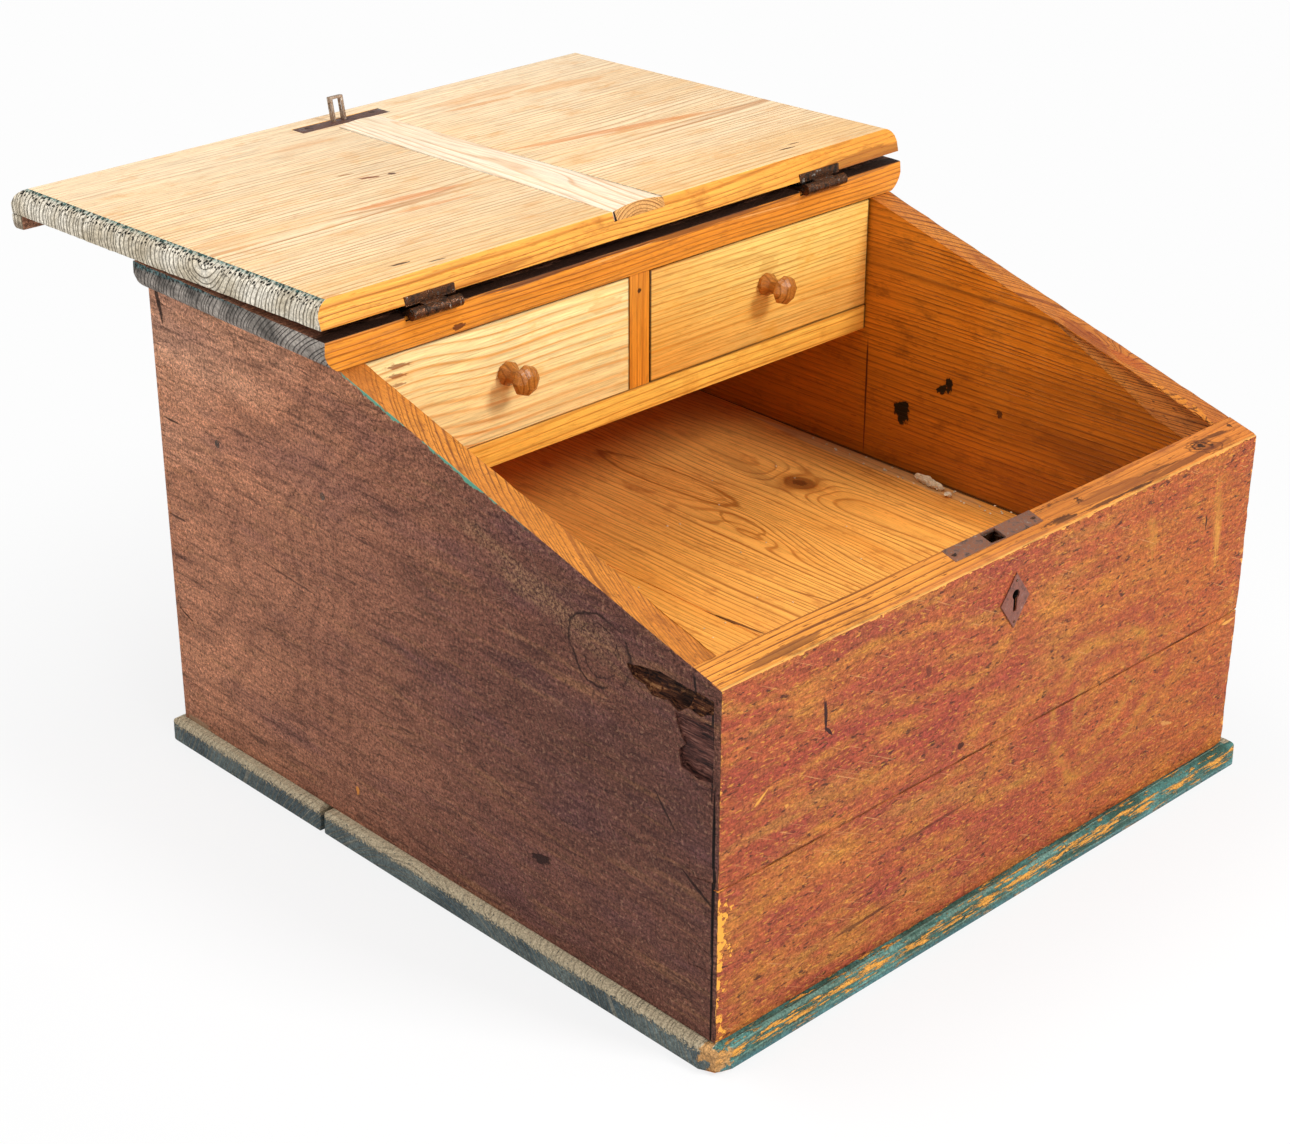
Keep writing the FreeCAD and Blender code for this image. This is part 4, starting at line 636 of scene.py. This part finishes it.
# drawer fronts: the palest, cleanest wood, one wavy and one fine; their dark edges at the top and where they meet
# the divider, the walls and the shelf are painted shade in the gaps
drawer_left_pine = pine(
    "pine_left_drawer_wavy", "x", (90, 120), 6.6, 0.02, 3, 11, "#ffe6a4", "#e08c2c", "#ffd484", 0.9, 0.55,
    swells=((-120, 60, 40, 400, 3), (-180, 60, 30, 400, -3)),
    # painted shade: the dark fades along its top edge and its right end by the divider
    fades=(("Z", 323.4, 324.4, "#7a4a1c", 0.45), ("X", -9.4, -8.2, "#3a1a08", 0.8)),
    marks=(("y", 60, 6, ((-196, 317, 8, 1.5, -6, "#8e4a10", 0.8, 0.7, 0.6),
        (-197, 311, 6.5, 1.3, -8, "#8e4a10", 0.8, 0.7, 0.6), (-196, 305, 5, 1, -4, "#8e4a10", 0.7, 0.7, 0.6),
        (-185, 284, 5, 1, -4, "#8e4a10", 0.6, 0.7, 0.6), (-30, 312, 14, 4, 0, "#dd9a4a", 0.4))),),
    grime="#f0b860", raised=0.12)
drawer_right_pine = pine(
    "pine_right_drawer_fine", "x", (90, 150), 3.4, 0.012, 2, 12, "#ffd474", "#c07010", "#ffb648", 0.9,
    # painted shade: the dark fades at both ends, along the foot and along the top edge
    fades=(("X", 130, 12, "#e08c28", 0.4), ("Z", 300, 250, "#f0a03c", 0.3), ("X", 218.4, 219.6, "#1c0a04", 0.9),
           ("X", 12.4, 11.2, "#1c0a04", 0.9), ("Z", 249.6, 248.6, "#3a1a08", 0.8),
           ("Z", 323.4, 324.4, "#7a4a1c", 0.45)),
    marks=(("y", 60, 6, ((96, 311, 30, 3, -6, "#b87c30", 0.3), (120, 301, 9, 6, 0, "#c08430", 0.3))),),
    grime="#eaa438", flecks=0.35, raised=0.1)
divider_pine = pine(
    "pine_divider", "z", (30, 120), 2.3, 0, 2, 14, "#f0982e", "#b4601a", "#d87f24", 0.9, 0.48,
    marks=(("y", 60, 6, ((1, 314, 1.6, 1.6, 0, "#2a1206", 0.9),)),),
    grime="#b86a24")
# plain insides and small things
inner_pine = pine("pine_inside_plain", "x", (300, 60), 3.4, 0, 5, 15, "#c98038", "#96501a", "#a55c20", 0.85)
drawer_inner = pine("pine_drawer_sides", "y", (300, 60), 3.2, 0, 5, 25, "#ecc184", "#c08746", "#dba868")
knob_wood = pine(
    "whittled_knob_wood_polished", "y", (0, 300), 4, 0, 3, 16, "#c27a32", "#743c10", "#a05a1e", roughness=0.2,
    grime="#5c300e", flecks=0.4)
bark_wood = pine(
    "waney_bark_edge", "y", (232, 300), 1.6, 0, 3, 33, "#d8842c", "#4a200a", "#b0601c", 1, 0.6,
    grime="#2a1206", flecks=0.8)
raw_split = split_wood()
# the keyhole's inner walls, near-black: painted shade in the hole
keyhole_painted_shade = pine("keyhole_walls_painted_shade", "x", (0, 0), 2, 0, 1, 50, "#1a0d07", "#0a0402", "#120904", roughness=0.8)
lint = pine("grey_lint_and_sawdust", "y", (0, 0), 1.4, 0, 2, 44, "#f0e0c2", "#b89c74", "#e0c9a0", 0.7, 0.8)
# paint, dull and thin: brown on sides and outsides, mottled red over ochre on the front
side_brown = brown_paint("brown_oil_paint_worn_thin", "y")
outer_brown = brown_paint("brown_oil_paint_darkened", "x", False)
front_red = grained_front_paint()
# bare board ends, grey and rough, and the base's worn green
lid_end = weathered_end(
    "weathered_lid_end_grain", (178, 372), 3.6, "#fff6e4", "#d6c8ae", "#73654c", "#14140c", LID_FACE, 7, 1)
top_end = weathered_end(
    "weathered_top_end_grain", (-60, 150), 2.6, "#b8aea4", "#605a54", "#46423e", "#2a2622", 351, 3, 8, "#5c7f80",
    "#6b584a")
base_side = green_paint(
    "worn_green_base_end_grain", "x", (0, -90), 3.2, "#6a7674", "#4a585c", "#b3a68c", "#bfae90", (3, 1.6), 0.56,
    0.7, 4)
base_front = green_paint(
    "worn_green_base_edge", "x", (-200, -40), 4, "#54867e", "#36584c", "#8cac9c", "#e4a044", (20, 2.6), 0.5, 0.9, 5,
    True)
# forged iron: black-brown hinges, rusty lock, a staple rubbed nearly bright
hinge_iron = iron("forged_hinge_iron_dark", "#46352b", "#e0d4c8", "#6e4428", "#0f0a08", 0.8, 0.26)
lock_iron = iron("forged_lock_iron_rusty", "#7c5c4e", "#a98a76", "#8d5638", "#3a2a24", 0.35, 0.5)
plate_iron = iron("escutcheon_iron_browned", "#7a4c40", "#a8705c", "#8a5140", "#3f2922", 0.35, 0.48)
staple_iron = iron("staple_iron_rubbed_bright", "#b8a490", "#fff8ea", "#8a6a50", "#4a382c", 0.25, 0.36)
staple_plate_iron = iron("staple_plate_iron_browned", "#6b5450", "#b8a8a8", "#7a5240", "#33241e", 0.5, 0.38)


# ---------------------------------------------------------------- shaping boards

def alone(piece):
    bpy.ops.object.select_all(action="DESELECT")
    bpy.context.view_layer.objects.active = piece
    piece.select_set(True)


def edit(piece):
    alone(piece)
    bpy.ops.object.mode_set(mode="EDIT")


def leave():
    bpy.ops.object.mode_set(mode="OBJECT")


def pick(piece, wanted):
    """Selects those points of a piece in edit mode that the test holds for."""
    mesh = bmesh.from_edit_mesh(piece.data)
    for vertex in mesh.verts:
        vertex.select = wanted(vertex)
    mesh.select_flush_mode()
    bmesh.update_edit_mesh(piece.data)


def weld(node, name):
    """A copy of a CAD solid with its points welded and its flat faces whole."""
    piece = bpy.data.objects.new(name, nodes[node].data.copy())
    scene.collection.objects.link(piece)
    piece.data.materials.clear()
    alone(piece)
    if piece.data.has_custom_normals:
        bpy.ops.mesh.customdata_custom_splitnormals_clear()
    edit(piece)
    bpy.ops.mesh.select_mode(type="EDGE")
    bpy.ops.mesh.select_all(action="SELECT")
    bpy.ops.mesh.remove_doubles(threshold=0.00002)
    bpy.ops.mesh.dissolve_limited(angle_limit=math.radians(1))
    leave()
    return piece


def round_arrises(piece, width_mm, longest_mm=6.0, steps=2, where=None):
    """Takes the sharpness off every long arris. Nail holes and small steps stay as they are."""
    edit(piece)
    bpy.ops.mesh.select_all(action="DESELECT")
    mesh = bmesh.from_edit_mesh(piece.data)
    for edge in mesh.edges:
        if len(edge.link_faces) == 2 and edge.calc_length() > longest_mm * MM:
            middle = (edge.verts[0].co + edge.verts[1].co) / 2 / MM
            edge.select = edge.calc_face_angle() > math.radians(25) and (where is None or where(middle))
    bmesh.update_edit_mesh(piece.data)
    bpy.ops.mesh.bevel(offset=width_mm * MM, segments=steps, profile=0.5, affect="EDGES")
    leave()


def slice_along(piece, axis, pitch_mm):
    """Cuts the board into short lengths, so that its arrises can waver."""
    low = min(c[axis] for c in piece.bound_box)
    high = max(c[axis] for c in piece.bound_box)
    count = int((high - low) / (pitch_mm * MM))
    normal = [0.0, 0.0, 0.0]
    normal[axis] = 1.0
    edit(piece)
    for number in range(1, count):
        spot = [0.0, 0.0, 0.0]
        spot[axis] = low + (high - low) * number / count
        bpy.ops.mesh.select_all(action="SELECT")
        bpy.ops.mesh.bisect(plane_co=spot, plane_no=normal)
    leave()


def wear(piece, strength_mm, size_mm, weight, mid=0.75, depth=2, name="wear"):
    """Knocks and rubs the places that the weight function names, by a soft noise."""
    group = piece.vertex_groups.new(name=name)
    for vertex in piece.data.vertices:
        amount = weight(vertex.co / MM)
        if amount > 0.01:
            group.add([vertex.index], min(amount, 1.0), "REPLACE")
    noise = bpy.data.textures.new(piece.name + "_" + name, "CLOUDS")
    noise.noise_scale, noise.noise_depth = size_mm * MM, depth
    alone(piece)
    bpy.ops.object.modifier_add(type="DISPLACE")
    change = piece.modifiers[-1]
    change.texture, change.texture_coords, change.vertex_group = noise, "LOCAL", name
    change.mid_level, change.strength = mid, strength_mm * MM
    bpy.ops.object.modifier_apply(modifier=change.name)


def carve(piece, start_x, outline, rough_mm, grit_mm):
    """Breaks a hollow of a given outline into a side. The outline lists y, z and how far the hollow
    goes in from the start plane at that point."""
    bpy.ops.object.select_all(action="DESELECT")
    bpy.ops.mesh.primitive_circle_add(vertices=len(outline), radius=MM, fill_type="NGON", location=(0, 0, 0))
    tool = bpy.context.active_object

    def move(number, target):
        pick(tool, lambda vertex: vertex.index == number)
        here = next(v.co.copy() for v in bmesh.from_edit_mesh(tool.data).verts if v.select)
        bpy.ops.transform.translate(value=Vector(target) * MM - here)

    edit(tool)
    bpy.ops.mesh.select_mode(type="VERT")
    for number, (y, z, _) in enumerate(outline):
        move(number, (start_x, y, z))
    bpy.ops.mesh.select_all(action="SELECT")
    bpy.ops.mesh.extrude_region_move(TRANSFORM_OT_translate={"value": (MM, 0, 0)})
    for y, z, inward in outline:
        mesh = bmesh.from_edit_mesh(tool.data)
        far = [v.index for v in mesh.verts if (v.co / MM - Vector((start_x + 1, y, z))).length < 0.01]
        move(far[0], (start_x + inward, y, z))
    bpy.ops.mesh.select_all(action="SELECT")
    bpy.ops.mesh.quads_convert_to_tris()
    bpy.ops.mesh.subdivide(number_cuts=7)
    bpy.ops.mesh.normals_make_consistent(inside=False)
    leave()
    wear(tool, rough_mm, grit_mm, lambda spot: 1.0, 0.5, 3, "rough")
    alone(piece)
    bpy.ops.object.modifier_add(type="BOOLEAN")
    cut = piece.modifiers[-1]
    cut.operation, cut.solver, cut.object = "DIFFERENCE", "EXACT", tool
    bpy.ops.object.modifier_apply(modifier=cut.name)
    bpy.data.objects.remove(tool)


def shade(piece, finishes, choose=None, smooth_degrees=40):
    """Gives each face the finish that the choose function names by its middle and its normal, and
    smooths what is rounded."""
    piece.data.materials.clear()
    for finish in finishes:
        piece.data.materials.append(finish)
    for face in piece.data.polygons:
        finish = choose(face.center / MM, face.normal) if choose else finishes[0]
        face.material_index = finishes.index(finish)
    alone(piece)
    bpy.ops.object.shade_smooth_by_angle(angle=math.radians(smooth_degrees))


def settle(piece, node, finishes, choose=None, smooth_degrees=40):
    """Finishes the piece, and lets it stand for its CAD node on its body."""
    shade(piece, finishes, choose, smooth_degrees)
    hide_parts(node)
    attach(piece, BODY_OF[node])


def edge_weight(piece, reach_mm):
    """A weight that is 1 on the arrises of a block and fades within the reach."""
    corners = [Vector(c) for c in piece.bound_box]
    low, high = (Vector([end(c[i] for c in corners) for i in range(3)]) / MM for end in (min, max))

    def weight(spot):
        near = sorted(min(spot[i] - low[i], high[i] - spot[i]) for i in range(3))
        return 1 - near[1] / reach_mm
    return weight


def under_lid_face(spot):
    return LID_FACE - spot.y * LID_NORMAL[1] - spot.z * LID_NORMAL[2]


def under_slope(spot):
    """How far a point lies under the slope, square to it."""
    return (FRONT_HEIGHT + SLOPE_RISE * (spot.y + FRONT_Y) - spot.z) * 0.964


# ---------------------------------------------------------------- the lid

place_camera()
set_floor_and_light()

BODY_OF = {node: body for body, members in frame["record"]["behaviour"]["bodies"].items() for node in members}


def lid_edges(spot):
    """How much the lid's bare ends have worn: most along their upper arris."""
    if abs(spot.x) < 248.5:
        return 0.0
    return 1.0 if under_lid_face(spot) < 3.5 else 0.5


def lid_faces(spot, normal):
    if abs(normal.x) > 0.35 or spot.y > 390.5 or abs(spot.x) > 249.2:
        return lid_end
    if normal.y < -0.4:
        return lid_edge_pine
    return outer_brown if normal.z < -0.7 else lid_pine


lid = weld("lid_board", "lid_panel")
round_arrises(lid, 0.7)
slice_along(lid, 1, 5)
wear(lid, 1.6, 4.0, lid_edges)
settle(lid, "lid_board", [lid_pine, lid_edge_pine, lid_end, outer_brown], lid_faces)

ledge = weld("book_ledge", "ledge_strip")
round_arrises(ledge, 1.2)
slice_along(ledge, 0, 12)
wear(ledge, 1.0, 8.0, edge_weight(ledge, 3))
settle(ledge, "book_ledge", [lid_end, outer_brown],
       lambda spot, normal: outer_brown if normal.y < -0.5 else lid_end)

# the batten's end stands out past the lid's edge, more at its foot than at its top
batten = weld("lid_batten", "batten_board")
edit(batten)
for foot, shift in ((True, -2.6), (False, -0.7)):
    pick(batten, lambda v: (v.co / MM).y < 66.9 and (under_lid_face(v.co / MM) > 3) == foot)
    bpy.ops.transform.translate(value=(0, shift * MM, 0))
leave()
round_arrises(batten, 0.4)
settle(batten, "lid_batten", [batten_pine, batten_end],
       lambda spot, normal: batten_end if normal.y < -0.6 else batten_pine)

# the staple's plate lies almost flat, its ends a hair's breadth up
plate = weld("staple_plate", "staple_plate_bent")
round_arrises(plate, 0.3, 1.6)
slice_along(plate, 0, 3)
edit(plate)
for end in (-39.1, 35.9):
    pick(plate, lambda v: abs(v.co.x / MM - end) < 1.0)
    bpy.ops.transform.translate(value=(0, 0, 0.15 * MM), use_proportional_edit=True,
                                proportional_edit_falloff="SMOOTH", proportional_size=26 * MM)
leave()
settle(plate, "staple_plate", [staple_plate_iron])

# ---------------------------------------------------------------- the case


def top_edges(spot):
    """Wear of the top board: its front edge towards the upper arris, and its two ends."""
    front = 1 - (346.3 - spot.z) / 3 if spot.y < 61 else 0
    return front + (0.9 if abs(spot.x) > 248 else 0)


def top_faces(spot, normal):
    if abs(normal.x) > 0.35 or abs(spot.x) > 249.2 or normal.y > 0.5:
        return top_end
    if abs(normal.z) > 0.8:
        return outer_brown if normal.z > 0 else inner_pine
    return top_pine


top = weld("top_board", "flat_top")
round_arrises(top, 0.9)
slice_along(top, 0, 12)
slice_along(top, 1, 7)
wear(top, 1.3, 6.0, top_edges)
settle(top, "top_board", [top_pine, top_end, outer_brown, inner_pine], top_faces)


def side_edges(spot):
    """How much a side's arris is worn: a little along the slope, more where the inside edge tore."""
    if under_slope(spot) > 1.8 or spot.y > 55:
        return 0.0
    torn = -240 < spot.y < -178 and abs(spot.x) < 225
    return 1.0 if torn else 0.35


# hollows as y, z and how far they go in: torn strip and broken layers outside, bark edge inside
TORN_STRIP = ((-181, 229.5, 7), (-190, 231.5, 10), (-207, 234.5, 11), (-228, 233, 11), (-247.5, 232.5, 9),
              (-247, 225, 7), (-238, 220, 6), (-228, 221, 5), (-221, 216.5, 9), (-212, 219.5, 8),
              (-201, 217.5, 6), (-195, 222, 8), (-187, 222.5, 6))
TORN_LAYERS = ((-218, 215, 4.2), (-228, 216.5, 5), (-247, 218, 5.5), (-247.5, 203, 5), (-247, 184, 6),
               (-236, 181, 6), (-224, 184, 7), (-220.5, 193, 5.5), (-226, 199, 4.2), (-221, 206, 4.4))
WANE = ((-100, 281.0, 3.4), (-150, 267.4, 10), (-200, 253.8, 12), (-229, 246.0, 12), (-229, 229.5, 4.0),
        (-208, 231, 3.6), (-184, 239, 3.6), (-142, 260, 3.6))

front_upper = weld("front_upper_plank", "front_board_upper")
for hand, sign, slope_pine, hollow in (("left", -1, left_slope, raw_split), ("right", 1, right_slope, bark_wood)):
    side = weld(hand + "_side", hand + "_wall")
    if sign < 0:
        for board in (side, front_upper):
            carve(board, -243.0, TORN_STRIP, 2.0, 5.0)
            carve(board, -243.0, TORN_LAYERS, 2.2, 6.0)
    else:
        carve(side, 218.0, WANE, 1.2, 8.0)
    round_arrises(side, 0.5, 8.0)
    slice_along(side, 1, 8)
    wear(side, 2.6, 6.0, side_edges, 0.85)

    def side_faces(spot, normal):
        out = spot.x * sign
        if out > 239.3:
            return side_brown
        if spot.y < -251.9:
            return front_red
        if normal.z > 0.5 and under_slope(spot) < 1.5:
            return slope_pine
        if sign < 0 and 225 < out < 239.7 and -262 < spot.y < -170 and 170 < spot.z < 240:
            return hollow
        if sign > 0 and 221.4 < out < 233 and -240 < spot.y < -105 and 228 < spot.z:
            return hollow
        return side_pine

    settle(side, hand + "_side", [side_pine, side_brown, slope_pine, front_red, hollow], side_faces)


def front_faces(spot, normal):
    if abs(spot.x) > 239.4:
        return side_brown
    if spot.y < -251.6:
        return front_red
    if spot.x < -230 and 170 < spot.z < 239 and spot.y > -252:
        return raw_split
    # the keyhole's inner walls take the near-black painted shade
    if abs(spot.x - 1) < 8 and 192 < spot.z < 222 and -251.9 < spot.y < -231:
        return keyhole_painted_shade
    return front_top_pine


def front_edges(spot):
    """Wear of a front plank: its top arris and the two corners of the case."""
    if spot.y > -250.8:
        return 0.0
    corner = 1.0 if abs(spot.x) > 238.5 else 0.0
    return max(corner, 0.5 if spot.z > 239.2 else 0.0)


front_lower = weld("front_lower_plank", "front_board_lower")
for board, node in ((front_upper, "front_upper_plank"), (front_lower, "front_lower_plank")):
    round_arrises(board, 0.5)
    slice_along(board, 0, 9)
    slice_along(board, 2, 5)
    wear(board, 2.0, 6.0, front_edges, 0.85)
    settle(board, node, [front_top_pine, front_red, side_brown, raw_split, keyhole_painted_shade], front_faces)


def back_faces(spot, normal):
    if abs(spot.x) > 239.4:
        return side_brown
    return outer_brown if spot.y > 251.8 else inner_pine


for plank in ("back_upper_plank", "back_lower_plank"):
    board = weld(plank, plank.replace("plank", "board"))
    round_arrises(board, 0.7)
    settle(board, plank, [inner_pine, side_brown, outer_brown], back_faces)


def base_faces(spot, normal):
    if normal.z < -0.8:
        return inner_pine
    in_front = -FRONT_Y - spot.y > abs(spot.x) - SIDE_X and spot.y < -250
    return base_front if in_front else base_side


for node in ("bottom_front_board", "bottom_rear_board"):
    board = weld(node, node.replace("bottom", "base"))
    round_arrises(board, 3.6, 30.0, 4, lambda middle: middle.z > 17)
    round_arrises(board, 1.4, 8.0, 2, lambda middle: middle.z < 1)
    slice_along(board, 0, 7)
    slice_along(board, 1, 7)
    near_edge = edge_weight(board, 5)
    wear(board, 1.4, 6.0, lambda spot: near_edge(spot) if spot.z > 1.6 else 0.0, 0.7)
    # the left front corner is knocked right off
    wear(board, 8.0, 22.0, lambda spot: 1 - Vector((spot.x + 246, spot.y + 258.5)).length / 13, 1.0, 2, "corner")
    settle(board, node, [base_side, base_front, inner_pine], base_faces)

# ---------------------------------------------------------------- boards and small things

# node, finish, width of the rounded arris, slot
PLAIN = (("well_floor_left", floor_pine, 0.5, "bare_pine"), ("well_floor_right", floor_pine, 0.5, "bare_pine"),
         ("drawer_shelf", rail_pine, 0.5, "bare_pine"), ("drawer_divider", divider_pine, 0.5, "bare_pine"),
         ("left_drawer_front", drawer_left_pine, 0.7, "pale_pine"),
         ("right_drawer_front", drawer_right_pine, 0.7, "pale_pine"))
for node, finish, width, slot in PLAIN:
    board = weld(node, node + "_board")
    round_arrises(board, width)
    settle(board, node, [finish])

SMALL = [(hand + "_hinge_" + leaf + "_leaf", hinge_iron, 0.3, "iron")
         for hand in ("left", "right") for leaf in ("fixed", "moving")]
SMALL += [("left_drawer_knob", knob_wood, 0.5, "knob_wood"), ("right_drawer_knob", knob_wood, 0.5, "knob_wood"),
          ("lock_selvedge", lock_iron, 0.2, "iron"), ("escutcheon", plate_iron, 0.4, "iron"),
          ("staple_eye", staple_iron, 0.5, "iron")]
for node, finish, width, slot in SMALL:
    piece = weld(node, node + "_worn")
    if "knob" in node:
        # a knob's head is a little wider than it was turned in the solid
        centre = sum((Vector(c) for c in piece.bound_box), Vector()) / 8
        edit(piece)
        pick(piece, lambda v: v.co.y < 0.0535)
        bpy.ops.transform.resize(value=(1.16, 1.0, 1.16), center_override=centre)
        leave()
    round_arrises(piece, width, 1.6)
    if node == "staple_eye":
        piece.modifiers.new("thicken", "DISPLACE").mid_level = 0.0
        piece.modifiers[-1].strength = 0.1 * MM
        bpy.ops.object.modifier_apply(modifier="thicken")
    settle(piece, node, [finish], None, 14 if "knob" in node else 45)

# a roll of lint and a few crumbs of wood, left on the well's floor: place and half sizes
random.seed(7)
bpy.ops.object.select_all(action="DESELECT")
spots = [(213, -12, 137.4, 3.4, 15, 2.6), (207, -34, 137, 2.2, 3.0, 2.0)]
spots += [(random.uniform(206, 219), random.uniform(-90, 110), 135.5, 0.6, 0.9, 0.5) for _ in range(30)]
spots += [(random.uniform(-60, 200), random.uniform(-190, 100), 135.3, 0.5, 0.7, 0.3) for _ in range(24)]
crumbs = []
for x, y, z, wide, long, high in spots:
    tiny = long < 4
    bpy.ops.mesh.primitive_ico_sphere_add(subdivisions=2 if tiny else 4, radius=1.0)
    crumb = bpy.context.active_object
    edit(crumb)
    bpy.ops.transform.resize(value=(wide * MM, long * MM, high * MM))
    bpy.ops.transform.rotate(value=random.uniform(-0.6, 0.6) if tiny else 0.12, orient_axis="Z",
                             center_override=(0, 0, 0))
    bpy.ops.transform.translate(value=(x * MM, y * MM, z * MM))
    leave()
    wear(crumb, wide * 1.3, wide * 0.6, lambda spot: 1.0, 0.5)
    crumbs.append(crumb)
bpy.ops.object.select_all(action="DESELECT")
for crumb in crumbs:
    crumb.select_set(True)
sweepings = bpy.context.view_layer.objects.active = crumbs[0]
bpy.ops.object.join()
sweepings.name = "lint_and_crumbs"
shade(sweepings, [lint], None, 60)
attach(sweepings, "case")

# the solids that stay as they are: cleats, drawer sides, nails, pins and the lock's works
for node, thing in nodes.items():
    if thing.hide_render:
        continue
    finish = drawer_inner if "_drawer_" in node else inner_pine
    if any(word in node for word in ("nail", "hinge", "lock", "pin", "staple", "escutcheon")):
        finish = hinge_iron
    for place in thing.material_slots:
        place.material = finish
    if not thing.material_slots:
        thing.data.materials.append(finish)

scene.view_settings.view_transform = "Standard"

low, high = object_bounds()
